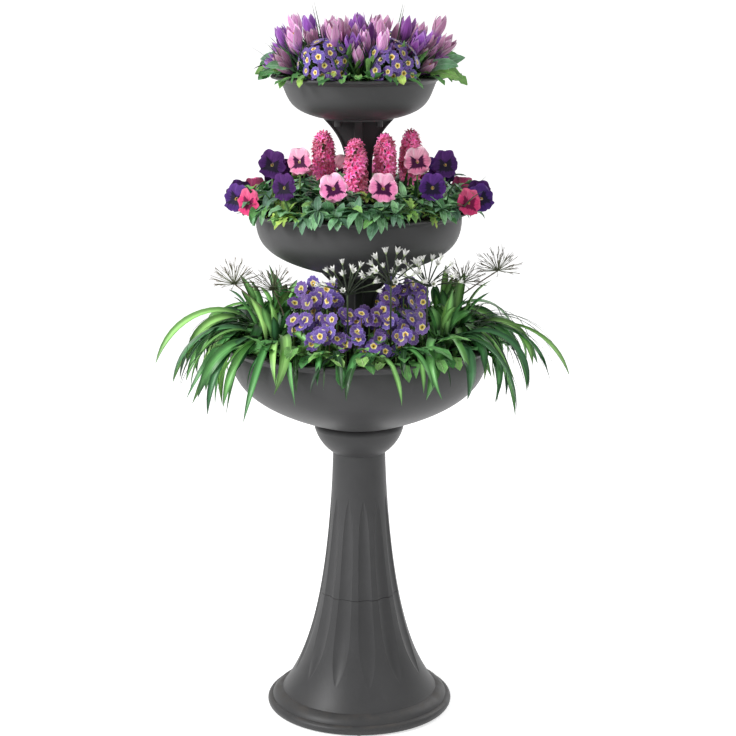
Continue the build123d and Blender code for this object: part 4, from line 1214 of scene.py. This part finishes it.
class PLANTER_OT_plant_middle_leaves(bpy.types.Operator):
    """Plant the leaves of the medium bowl"""
    bl_idname = "planter.plant_middle_leaves"
    bl_label = "Middle tier leaves"

    def execute(self, context):
        rng = random.Random(23)
        tier = MEDIUM
        foliage = Foliage(oval=oval_leaf(), rosette=rosette_leaf(), grass=grass_leaf(),
                          crinkled=crinkled_leaf())

        def fill(root, azimuth):
            return leaf(root, azimuth + rng.uniform(-1.0, 1.0), rng.uniform(0.2, 1.1), rng.uniform(0.5, 1.5),
                        rng.uniform(32, 50) * MM, rng.uniform(16, 24) * MM, oval_outline, steps=7,
                        ruffle=0.12, fold=0.25, phase=rng.uniform(0, 6))

        def upright(root, azimuth):
            return leaf(root, azimuth + rng.uniform(-0.8, 0.8), rng.uniform(0.9, 1.4), rng.uniform(0.1, 0.8),
                        rng.uniform(58, 96) * MM, rng.uniform(4, 8) * MM, strap_outline, steps=8, across=3,
                        fold=0.5, sway=rng.uniform(-0.15, 0.15))

        def dome(r):
            share = (r - tier.way) / (tier.radius - tier.way)
            return tier.rim + (6 + 34 * max(0.0, 1 - share * share) - rng.uniform(0, 24)) * MM

        def ground(r):
            return tier.soil + 4 * MM

        strew_leaves(foliage, tier, rng, MIDDLE_OVAL_LEAVES, dome, fill, "oval")
        strew_leaves(foliage, tier, rng, MIDDLE_CRINKLED_LEAVES, dome, fill, "crinkled")
        strew_leaves(foliage, tier, rng, MIDDLE_DARK_LEAVES, ground, upright, "grass")
        for k in range(MIDDLE_SHOOTS):
            azimuth = 2 * math.pi * (k + rng.uniform(-0.4, 0.4)) / MIDDLE_SHOOTS
            insets = (rng.uniform(0, 14), rng.uniform(22, 74))
            self.shoot(foliage, tier, rng, azimuth, insets[k % 2], SHOOT_FINISHES[k % 5])
        self.edge_leaves(foliage, tier, rng)
        foliage.plant("middle_leaves", tier, "leaf", "medium_leaf_bed")
        return {"FINISHED"}

    def shoot(self, foliage, tier, rng, azimuth, inset, finish):
        """Shoot with leaves all round it that leans out, more so at the rim."""
        share = 1 - inset / 100
        rise = rng.uniform(6, 20) + 34 * (1 - share)
        root = polar(azimuth, tier.radius - inset * MM, tier.rim + rise * MM)
        size = rng.uniform(0.85, 1.15) * (1.0 if finish == "oval" else 0.8)
        outline = oval_outline if finish == "oval" else lobed_outline
        for k in range(SHOOT_LEAVES):
            turn = azimuth + (k - 4) * 0.70 + rng.uniform(-0.2, 0.2)
            rows = leaf(root, turn, rng.uniform(-0.1, 0.6) - 0.9 * share * math.cos(turn - azimuth),
                        rng.uniform(0.2, 1.0), rng.uniform(24, 38) * size * MM,
                        rng.uniform(11, 17) * size * MM, outline, steps=8, ruffle=0.10, fold=0.3,
                        phase=rng.uniform(0, 6))
            set_leaf(foliage, tier, rng, rows, finish)

    def edge_leaves(self, foliage, tier, rng):
        """Leaves over the rim that hang farther at the sides."""
        for k in range(MIDDLE_EDGE_LEAVES):
            azimuth = 2 * math.pi * (k + rng.uniform(-0.45, 0.45)) / MIDDLE_EDGE_LEAVES
            hang = 0.6 + 0.6 * abs(math.sin(azimuth)) ** 0.5
            root = polar(azimuth, tier.radius - rng.uniform(4, 34) * MM, tier.rim + rng.uniform(6, 30) * MM)
            rows = leaf(root, azimuth + rng.uniform(-1.2, 1.2), rng.uniform(0.0, 0.9),
                        rng.uniform(0.9, 2.2) * hang, rng.uniform(28, 46) * hang * MM,
                        rng.uniform(14, 23) * MM, oval_outline, steps=9, ruffle=0.14, fold=0.22,
                        roll=rng.uniform(-0.8, 0.8), phase=rng.uniform(0, 6))
            set_leaf(foliage, tier, rng, rows, ("oval", "oval", "crinkled")[k % 3])


# Points along a hyacinth floret's petal: out, up and half width, as shares of its size
HYACINTH_PETAL = ((0.06, 0.10, 0.12), (0.26, 0.62, 0.19), (0.62, 0.88, 0.17), (0.98, 0.92, 0.04))


class PLANTER_OT_plant_hyacinths(bpy.types.Operator):
    """Plant the hyacinth spikes round the upper stem"""
    bl_idname = "planter.plant_hyacinths"
    bl_label = "Hyacinths"

    def execute(self, context):
        tier = MEDIUM
        base = tuple(context.scene.planter_flowers.hyacinth)
        floret = petal_material("hyacinth_petal", base, towards(base, (1.0, 0.62, 0.78), 0.8), base, 0.22,
                                darker(base, 0.6), 0.22, count=3.0, edge_share=0.8, rough=0.5, tint=0.8)
        rng = random.Random(31)
        foliage = Foliage(petal=floret, stalk=green_stalk())
        for azimuth, inset, foot, length in HYACINTHS:
            for bearing in (azimuth, 180 - azimuth):
                low = tier.at(bearing, inset, flower_height(bearing, foot))
                self.spike(foliage, rng, low, length * MM, (17 + 0.06 * (length - 66)) * MM)
                root = Vector((low.x, low.y, tier.soil))
                path = [root, low, low + UP * length * 0.9 * MM]
                foliage.stalk(path, 4 * MM, 2 * MM, 0.3, "stalk", sides=8)
        foliage.plant("hyacinth_spikes", tier, "hyacinth", "hyacinths")
        return {"FINISHED"}

    def spike(self, foliage, rng, low, length, radius):
        """Dense spiral of florets, blunt at the top, with small ones that point up there."""
        count = int(length / MM * 1.05)
        for i in range(count):
            t = (i + 0.5) / count
            girth = radius * (0.86 + 0.14 * math.sin(math.pi * t)) * (1 - 0.5 * max(0.0, t - 0.82) / 0.18)
            azimuth = i * GOLDEN_ANGLE + rng.uniform(-0.2, 0.2)
            tilt = math.radians(98 - 30 * t - 40 * t ** 6 + rng.uniform(-14, 14))
            facing, top, side = facing_frame(azimuth, tilt)
            centre = low + UP * (length * t) + outward(azimuth) * (girth * 0.46)
            size = (11.0 - 3.0 * t ** 3) * MM * rng.uniform(0.85, 1.15)
            tint = rng.random()
            spin = rng.uniform(0, 1)
            for k in range(6):
                a = spin + math.pi * k / 3
                way = top * math.cos(a) + side * math.sin(a)
                edge = facing.cross(way)
                rows = []
                for out, rise, wide in HYACINTH_PETAL:
                    mid = centre + way * (size * out) + facing * (size * rise)
                    half = edge * (size * wide)
                    rows.append([mid - half, mid + facing * (size * 0.05), mid + half])
                foliage.sheet(rows, tint, "petal")


class PLANTER_OT_plant_pansies(bpy.types.Operator):
    """Plant purple, pink and magenta pansies in the medium bowl"""
    bl_idname = "planter.plant_pansies"
    bl_label = "Pansies"

    def execute(self, context):
        flowers = context.scene.planter_flowers
        kinds = {
            "purple": (tuple(flowers.pansy_purple), (0.007, 0.002, 0.022), (0.150, 0.045, 0.290)),
            "pink": (tuple(flowers.pansy_pink), (0.050, 0.002, 0.038), (0.98, 0.74, 0.82)),
            "magenta": (tuple(flowers.pansy_magenta), (0.20, 0.004, 0.070), (0.95, 0.24, 0.44)),
        }
        for colour, (base, blotch, pale) in kinds.items():
            upper = pansy_petal("pansy_upper_" + colour, towards(base, pale, 0.35), darker(base, 0.7), 0.20,
                                pale)
            lower = pansy_petal("pansy_lower_" + colour, base, blotch, 0.46, towards(base, pale, 0.6))
            self.plant(colour, upper, lower, flowers.pansy_radius)
        return {"FINISHED"}

    def plant(self, colour, upper, lower, radius):
        tier = MEDIUM
        rng = random.Random(colour + "_pansies")
        foliage = Foliage(upper=upper, lower=lower, stalk=green_stalk(), eye=saffron())
        for azimuth, inset, height in PANSIES[colour]:
            for bearing in (azimuth, -azimuth, 180 + azimuth, 180 - azimuth):
                centre = tier.at(bearing, inset, flower_height(bearing, height))
                if not stand_clear(tier, centre, 4 * MM):
                    continue
                front = bearing if abs(bearing) < 91 else bearing - 180
                face = math.radians(bearing - front * 0.62 + rng.uniform(-16, 16))
                tilt = math.radians(rng.uniform(68, 92))
                add_pansy(foliage, centre, face, tilt, radius * rng.uniform(0.92, 1.05),
                          rng.uniform(-0.35, 0.35), rng.random())
                facing = facing_frame(face, tilt)[0]
                foliage.bead(centre + facing * 1.8 * MM, 1.0 * MM, 0.5, "eye")
                foot = tier.at(bearing, max(inset, 24), 6)
                path = bent_path(foot, centre - facing * 3 * MM, 0.2)
                foliage.stalk(path, 1.9 * MM, 1.4 * MM, rng.uniform(0, 0.6), "stalk")
        foliage.plant(colour + "_pansy_flowers", tier, "pansy_" + colour, colour + "_pansies")


# Bottom tier

# Leaves of the bed: their number, and the inner and outer radius of their ring in millimetres
BOTTOM_LEAVES = (270, 66, 222)
FRONT_LEAVES = 26


class PLANTER_OT_plant_bottom_leaves(bpy.types.Operator):
    """Plant the leaves between the clumps of the large bowl"""
    bl_idname = "planter.plant_bottom_leaves"
    bl_label = "Bottom tier leaves"

    def execute(self, context):
        rng = random.Random(47)
        tier = LARGE
        foliage = Foliage(crinkled=crinkled_leaf(), strap=strap_leaf(), grass=grass_leaf())

        def fill(root, azimuth):
            return leaf(root, azimuth + rng.uniform(-0.9, 0.9), rng.uniform(0.2, 1.0), rng.uniform(0.6, 1.5),
                        rng.uniform(48, 78) * MM, rng.uniform(22, 32) * MM, spoon_outline, steps=8,
                        ruffle=0.2, fold=0.28, phase=rng.uniform(0, 6))

        def dome(r):
            return tier.rim + (4 + 12 * max(0.0, 1 - r / tier.radius)) * MM - rng.uniform(0, 14) * MM

        strew_leaves(foliage, tier, rng, BOTTOM_LEAVES, dome, fill, "crinkled")
        for facing in (0, math.pi):
            for k in range(FRONT_LEAVES):
                azimuth = facing + (k - 12.5) * 0.052 + rng.uniform(-0.04, 0.04)
                self.front_leaf(foliage, tier, rng, azimuth, k)
        foliage.plant("bottom_leaves", tier, "leaf", "large_leaf_bed")
        return {"FINISHED"}

    def front_leaf(self, foliage, tier, rng, azimuth, k):
        """Leaf over the rim between the clumps: a broad crinkled one or a hanging strap."""
        root = polar(azimuth, tier.radius - rng.uniform(30, 52) * MM, tier.rim + rng.uniform(6, 20) * MM)
        if k % 3 == 0:
            finish = "crinkled"
            rows = leaf(root, azimuth + rng.uniform(-1.2, 1.2), rng.uniform(0.35, 0.7), rng.uniform(0.6, 1.2),
                        rng.uniform(66, 88) * MM, rng.uniform(24, 32) * MM, spoon_outline, steps=10,
                        ruffle=0.2, fold=0.3, roll=rng.uniform(-0.5, 0.5), phase=rng.uniform(0, 6))
        else:
            finish = "strap" if k % 3 == 1 and k % 5 else "grass"
            lift = rng.uniform(0.6, 1.0)
            rows = leaf(root, azimuth + rng.uniform(-0.7, 0.7), lift, lift + rng.uniform(1.2, 1.5),
                        rng.uniform(74, 128) * MM, rng.uniform(7, 14) * MM, strap_outline, steps=13, fold=0.3,
                        roll=rng.uniform(-0.8, 0.8), droop=0.6)
        set_leaf(foliage, tier, rng, rows, finish)


# Crowns of strap leaves, in millimetres: inset from the rim, spread of roots, shortest and longest leaf
CLUMP = (78, 52, (92, 205))
TUFT = (70, 46, (92, 200))
TUFT_TURN = 36
UPRIGHT_SHARE = 0.22
CLUMP_GAP = 4 * MM
WISPS = 30


class PLANTER_OT_plant_strap_clumps(bpy.types.Operator):
    """Plant the large strap-leaf clumps and the tufts beside them"""
    bl_idname = "planter.plant_strap_clumps"
    bl_label = "Strap-leaf clumps"

    def execute(self, context):
        leaves = context.scene.planter_leaves
        width = leaves.strap_width
        for side, name in ((-90, "left"), (90, "right")):
            rng = random.Random("clump_" + name)
            foliage = Foliage(strap=strap_leaf(), grass=grass_leaf())
            self.clump(foliage, rng, side, leaves.strap_count, width, *CLUMP)
            for turn in (TUFT_TURN, -TUFT_TURN):
                self.clump(foliage, rng, side + turn, leaves.tuft_count, width, *TUFT)
            self.wisps(foliage, rng, side)
            foliage.plant("strap_leaves_" + name, LARGE, "strap_leaf", "strap_clump_" + name)
        return {"FINISHED"}

    def clump(self, foliage, rng, bearing, count, width, inset, spread, lengths):
        """Leaves from roots about one crown: the inner ones stand, the others arch over and hang."""
        crown = LARGE.at(bearing, inset, 0)
        for k in range(count):
            share = (k + 0.5) / count
            turn = k * GOLDEN_ANGLE + rng.uniform(-0.8, 0.8)
            rise = rng.uniform(8, 40 - 16 * share) * MM
            root = crown + outward(turn) * (spread * MM * math.sqrt(share)) + UP * rise
            length = rng.uniform(*lengths) * MM
            if math.cos(turn - math.radians(bearing)) < -0.2:
                length *= 0.66
            wide = width * rng.uniform(0.7, 1.3)
            if share < UPRIGHT_SHARE:
                rows = leaf(root, turn, rng.uniform(1.15, 1.5), rng.uniform(0.1, 0.9), length * 0.48, wide,
                            strap_outline, steps=10, fold=0.5, roll=rng.uniform(-1.2, 1.2),
                            sway=rng.uniform(-0.3, 0.3))
            else:
                lift = rng.uniform(0.7, 1.3)
                rows = leaf(root, turn, lift, lift + rng.uniform(1.2, 1.6), length, wide, strap_outline,
                            steps=15, fold=0.5, roll=rng.uniform(-1.7, 1.7), sway=rng.uniform(-0.6, 0.6),
                            droop=rng.uniform(0.36, 0.72))
            set_leaf(foliage, LARGE, rng, rows, "strap", CLUMP_GAP)

    def wisps(self, foliage, rng, bearing):
        """Thin dark leaves that arch out beyond the clump, farther on the right."""
        farther = 1.12 if bearing > 0 else 0.88
        for _ in range(WISPS):
            azimuth = math.radians(bearing + rng.uniform(-62, 62))
            crown = LARGE.at(bearing + rng.uniform(-22, 22), rng.uniform(30, 84), rng.uniform(12, 36))
            lift = rng.uniform(0.5, 1.0)
            rows = leaf(crown, azimuth, lift, lift + rng.uniform(1.1, 1.5),
                        rng.uniform(130, 205) * MM * farther, rng.uniform(3.0, 4.8) * MM, grass_outline,
                        steps=13, across=3, fold=0.4, sway=rng.uniform(-0.3, 0.3), droop=0.7)
            set_leaf(foliage, LARGE, rng, rows, "grass", CLUMP_GAP)


FLOWERS_PER_PLACE = 6


class PLANTER_OT_plant_primrose_bank(bpy.types.Operator):
    """Plant the bank of primroses before and behind the lower stem"""
    bl_idname = "planter.plant_primrose_bank"
    bl_label = "Primrose bank"

    def execute(self, context):
        rng = random.Random(59)
        tier = LARGE
        radius = context.scene.planter_flowers.primrose_radius
        foliage = Foliage(petal=primrose_petal(), stalk=green_stalk())
        for inset, height, columns in PRIMROSE_ROWS:
            ahead = tier.radius - inset * MM
            for across in [PRIMROSE_PITCH * MM * column for column in columns]:
                for turn, sign in ((0, 1), (180, -1)):
                    rise = flower_height(turn, height)
                    for spot in range(FLOWERS_PER_PLACE):
                        centre = Vector((sign * across, -sign * ahead, tier.rim + rise * MM))
                        if spot:
                            centre += Vector((rng.uniform(-22, 22), sign * rng.uniform(-8, 14),
                                              rng.uniform(-22, 12))) * MM
                        self.flower(foliage, rng, centre, radius)
        foliage.plant("primrose_bank_flowers", tier, "primrose", "large_primroses")
        return {"FINISHED"}

    def flower(self, foliage, rng, centre, radius):
        """Primrose that faces half way between its bearing and straight ahead, unless it is in the way."""
        tier = LARGE
        out = math.hypot(centre.x, centre.y)
        if not stand_clear(tier, centre, 3 * MM) or out < tier.way + radius:
            return
        azimuth = math.atan2(centre.x, -centre.y)
        if centre.y < 0:
            face = azimuth * 0.5
        else:
            face = math.pi + (azimuth - math.copysign(math.pi, azimuth)) * 0.5
        face += math.radians(rng.uniform(-46, 46))
        add_primrose(foliage, centre, face, math.radians(rng.uniform(32, 92)),
                     radius * rng.uniform(0.82, 1.06), rng.uniform(0, 1.2), rng.random())
        foot = polar(azimuth, min(out, tier.radius - 30 * MM), tier.soil + 2 * MM)
        path = bent_path(foot, centre - UP * MM, 0.1)
        foliage.stalk(path, 1.5 * MM, 1.2 * MM, rng.random(), "stalk")


def umbel_spokes(rng, count, low_rise):
    """Directions of an umbel's spokes over a half globe."""
    ways = []
    for k in range(count):
        rise = math.asin(low_rise + (1 - low_rise) * (k + 0.5) / count)
        turn = k * GOLDEN_ANGLE + rng.uniform(-0.2, 0.2)
        level = math.cos(rise)
        ways.append(Vector((math.cos(turn) * level, math.sin(turn) * level, math.sin(rise))))
    return ways


UMBEL_SPOKES = 15
UMBEL_LOW_RISE = 0.12


class PLANTER_OT_plant_umbels(bpy.types.Operator):
    """Plant the white umbels in front of the lower stem"""
    bl_idname = "planter.plant_umbels"
    bl_label = "White umbels"

    def execute(self, context):
        tier = LARGE
        rng = random.Random(71)
        white = tuple(context.scene.planter_flowers.white)
        floret = petal_material("white_floret", white, (0.93, 0.93, 0.91), (0.52, 0.62, 0.34), 0.34,
                                darker(white, 0.72), 0.4, count=3.0, tint=0.25)
        foliage = Foliage(petal=floret, stalk=dark_stalk())
        for column, foot_inset, head_inset, height in WHITE_UMBELS:
            across = PRIMROSE_PITCH * column * MM
            start = Vector((across, foot_inset * MM - tier.radius, tier.soil))
            top = Vector((across, head_inset * MM - tier.radius, tier.rim + height * MM))
            foliage.stalk(bent_path(start, top, 0.3, 7), 1.9 * MM, 1.5 * MM, 0.5, "stalk", sides=7)
            for way in umbel_spokes(rng, UMBEL_SPOKES, UMBEL_LOW_RISE):
                end = top + way * rng.uniform(42, 58) * MM
                path = [top, (top + end) / 2 + UP * 1.5 * MM, end]
                foliage.stalk(path, 1.3 * MM, 1.0 * MM, 0.5, "stalk")
                self.floret(foliage, rng, end, (way + UP * rng.uniform(-0.2, 0.5)).normalized())
        foliage.plant("white_umbel_heads", tier, "white_petal", "white_umbels")
        return {"FINISHED"}

    def floret(self, foliage, rng, foot, axis):
        """Small funnel of six pointed petals."""
        side = axis.orthogonal().normalized()
        other = axis.cross(side)
        size = rng.uniform(8.0, 11.5) * MM
        opening = rng.uniform(0.3, 0.65)
        tint = rng.random()
        profile = ((0.05, 0.0, 0.05), (0.22, 0.45, 0.19), (0.22 + 0.4 * opening, 0.85, 0.21),
                   (0.28 + 0.9 * opening, 1.15, 0.03))
        for k in range(6):
            a = math.pi * k / 3
            way = side * math.cos(a) + other * math.sin(a)
            edge = axis.cross(way)
            rows = []
            for out, rise, wide in profile:
                mid = foot + way * (size * out) + axis * (size * rise)
                rows.append([mid - edge * (size * wide), mid, mid + edge * (size * wide)])
            foliage.sheet(rows, tint, "petal")


SEED_SPOKES = 54
SEED_LOW_RISE = -0.15
# How much farther out the right seed heads stand, in millimetres
RIGHT_SEED_SHIFT = 36


class PLANTER_OT_plant_seed_heads(bpy.types.Operator):
    """Plant the wiry seed heads beside the clumps"""
    bl_idname = "planter.plant_seed_heads"
    bl_label = "Seed heads"

    def execute(self, context):
        tier = LARGE
        rng = random.Random(83)
        foliage = Foliage(wire=seed_stalk())
        for foot_azimuth, foot_inset, head_azimuth, head_inset, height in SEED_HEADS:
            for turn, shift in ((0, 0), (180, RIGHT_SEED_SHIFT)):
                start = tier.at(foot_azimuth + turn, foot_inset, -14)
                top = tier.at(head_azimuth + turn, head_inset - shift, height)
                foliage.stalk(bent_path(start, top, 0.2, 7), 1.6 * MM, 1.2 * MM, 0.5, "wire", sides=6)
                for way in umbel_spokes(rng, SEED_SPOKES, SEED_LOW_RISE):
                    self.spoke(foliage, rng, top, way)
        foliage.plant("seed_head_wires", tier, "seed_stalk", "seed_heads")
        return {"FINISHED"}

    def spoke(self, foliage, rng, top, way):
        """Thin spoke that forks twice near its end."""
        length = rng.uniform(32, 48) * MM
        path = [top, top + way * length * 0.5, top + way * length]
        foliage.stalk(path, 0.55 * MM, 0.42 * MM, rng.random(), "wire", sides=3)
        for _ in range(2):
            fork = top + way * length * rng.uniform(0.55, 0.8)
            twist = Vector((rng.uniform(-1, 1), rng.uniform(-1, 1), rng.uniform(-1, 1)))
            twig = fork + (way + twist * 0.3) * length * 0.28
            foliage.stalk([fork, twig], 0.45 * MM, 0.42 * MM, rng.random(), "wire", sides=3)


# Stage, in metres and degrees

LAMPS = (("key", (-3.1, -1.9, 2.8), 1.7), ("fill", (2.6, -2.2, 1.6), 2.2), ("back", (2.6, 1.9, 2.2), 2.0))
LAMP_AIM = Vector((0, 0, 0.7))
WORLD_LIGHT = 0.36
CAMERA_PLACE = (0.016, -3.25, 1.38)
CAMERA_PITCH = 12.95
FLOOR_HALF_WIDTH = 9.0
FLOOR_FRONT = -7.0
SWEEP_START = 4.0
SWEEP_RADIUS = 2.0
SWEEP_STEPS = 16
BACKDROP_TOP = 7.0
FLOOR_GLOW = 0.60


class PLANTER_OT_set_stage(bpy.types.Operator):
    """Set floor, light and camera"""
    bl_idname = "planter.set_stage"
    bl_label = "Set stage"

    def execute(self, context):
        scene = context.scene
        stage = scene.planter_stage
        scene.view_settings.view_transform = "Standard"
        self.floor(scene, tuple(stage.floor))
        self.world(scene)
        for name, place, size in LAMPS:
            self.lamp(scene, name + "_light", place, size, getattr(stage, name))
        self.camera(scene, stage.lens)
        return {"FINISHED"}

    def floor(self, scene, colour):
        """Floor that sweeps up into a backdrop, white to the camera but for the shadow."""
        profile = [(FLOOR_FRONT, 0.0), (SWEEP_START, 0.0)]
        for k in range(1, SWEEP_STEPS + 1):
            a = math.pi / 2 * k / SWEEP_STEPS
            profile.append((SWEEP_START + SWEEP_RADIUS * math.sin(a), SWEEP_RADIUS * (1 - math.cos(a))))
        profile.append((SWEEP_START + SWEEP_RADIUS, BACKDROP_TOP))
        points = [(x, y, z) for y, z in profile for x in (-FLOOR_HALF_WIDTH, FLOOR_HALF_WIDTH)]
        faces = [(2 * i, 2 * i + 1, 2 * i + 3, 2 * i + 2) for i in range(len(profile) - 1)]
        mesh = bpy.data.meshes.new("floor")
        mesh.from_pydata(points, [], faces)
        mesh.shade_smooth()
        material, w, shader = new_material("pale_floor")
        if w:
            shader["Base Color"].default_value = (*colour, 1)
            shader["Roughness"].default_value = 0.9
            shader["Emission Color"].default_value = (1, 1, 1, 1)
            light = w.add("LightPath").outputs
            seen = w.math("ADD", light["Is Camera Ray"], light["Is Glossy Ray"], clamp=True)
            w.feed(shader["Emission Strength"], w.math("MULTIPLY", seen, FLOOR_GLOW))
        mesh.materials.append(material)
        floor = bpy.data.objects.new("floor", mesh)
        scene.collection.objects.link(floor)

    def world(self, scene):
        """Even light from all round, white to the camera."""
        world = bpy.data.worlds.new("studio")
        scene.world = world
        world.use_nodes = True
        w = Wiring(world.node_tree)
        background = world.node_tree.nodes["Background"].inputs
        background["Color"].default_value = (1, 1, 1, 1)
        light = w.add("LightPath").outputs
        w.feed(background["Strength"], w.fade(light["Is Camera Ray"], 0.0, 1.0, WORLD_LIGHT, 1.0))

    def lamp(self, scene, name, place, size, power):
        lamp = bpy.data.lights.new(name, "AREA")
        lamp.shape = "DISK"
        lamp.size = size
        lamp.energy = power
        holder = bpy.data.objects.new(name, lamp)
        scene.collection.objects.link(holder)
        holder.location = place
        holder.rotation_mode = "QUATERNION"
        holder.rotation_quaternion = (LAMP_AIM - Vector(place)).to_track_quat("-Z", "Y")

    def camera(self, scene, lens):
        camera = bpy.data.cameras.new("front_camera")
        camera.lens = lens
        camera.sensor_width = 36.0
        camera.clip_end = 60.0
        holder = bpy.data.objects.new("front_camera", camera)
        scene.collection.objects.link(holder)
        holder.location = CAMERA_PLACE
        holder.rotation_euler = (math.radians(90 - CAMERA_PITCH), 0, 0)
        scene.camera = holder


OPERATORS = (
    PLANTER_OT_finish_pots, PLANTER_OT_finish_fittings, PLANTER_OT_lay_soil, PLANTER_OT_plant_top_leaves,
    PLANTER_OT_plant_crocuses, PLANTER_OT_plant_posies, PLANTER_OT_plant_middle_leaves,
    PLANTER_OT_plant_hyacinths, PLANTER_OT_plant_pansies, PLANTER_OT_plant_bottom_leaves,
    PLANTER_OT_plant_strap_clumps, PLANTER_OT_plant_primrose_bank, PLANTER_OT_plant_umbels,
    PLANTER_OT_plant_seed_heads, PLANTER_OT_set_stage,
)
SETTINGS = (
    ("planter_finish", PlanterFinish), ("planter_leaves", LeafSettings), ("planter_flowers", FlowerSettings),
    ("planter_stage", StageSettings),
)


class PLANTER_PT_sidebar(bpy.types.Panel):
    """Settings and steps of the planter"""
    bl_idname = "PLANTER_PT_sidebar"
    bl_label = "Tiered Planter"
    bl_space_type = "VIEW_3D"
    bl_region_type = "UI"
    bl_category = "Planter"

    def draw(self, context):
        for name, group in SETTINGS:
            box = self.layout.box()
            for field in group.__annotations__:
                box.prop(getattr(context.scene, name), field)
        for operator in OPERATORS:
            self.layout.operator(operator.bl_idname)


def register():
    for name, group in SETTINGS:
        bpy.utils.register_class(group)
        setattr(bpy.types.Scene, name, bpy.props.PointerProperty(type=group))
    for operator in OPERATORS:
        bpy.utils.register_class(operator)
    bpy.utils.register_class(PLANTER_PT_sidebar)


def unregister():
    bpy.utils.unregister_class(PLANTER_PT_sidebar)
    for operator in reversed(OPERATORS):
        bpy.utils.unregister_class(operator)
    for name, group in reversed(SETTINGS):
        delattr(bpy.types.Scene, name)
        bpy.utils.unregister_class(group)


def main():
    register()
    for operator in OPERATORS:
        area, name = operator.bl_idname.split(".")
        getattr(getattr(bpy.ops, area), name)()


if __name__ == "__main__":
    main()
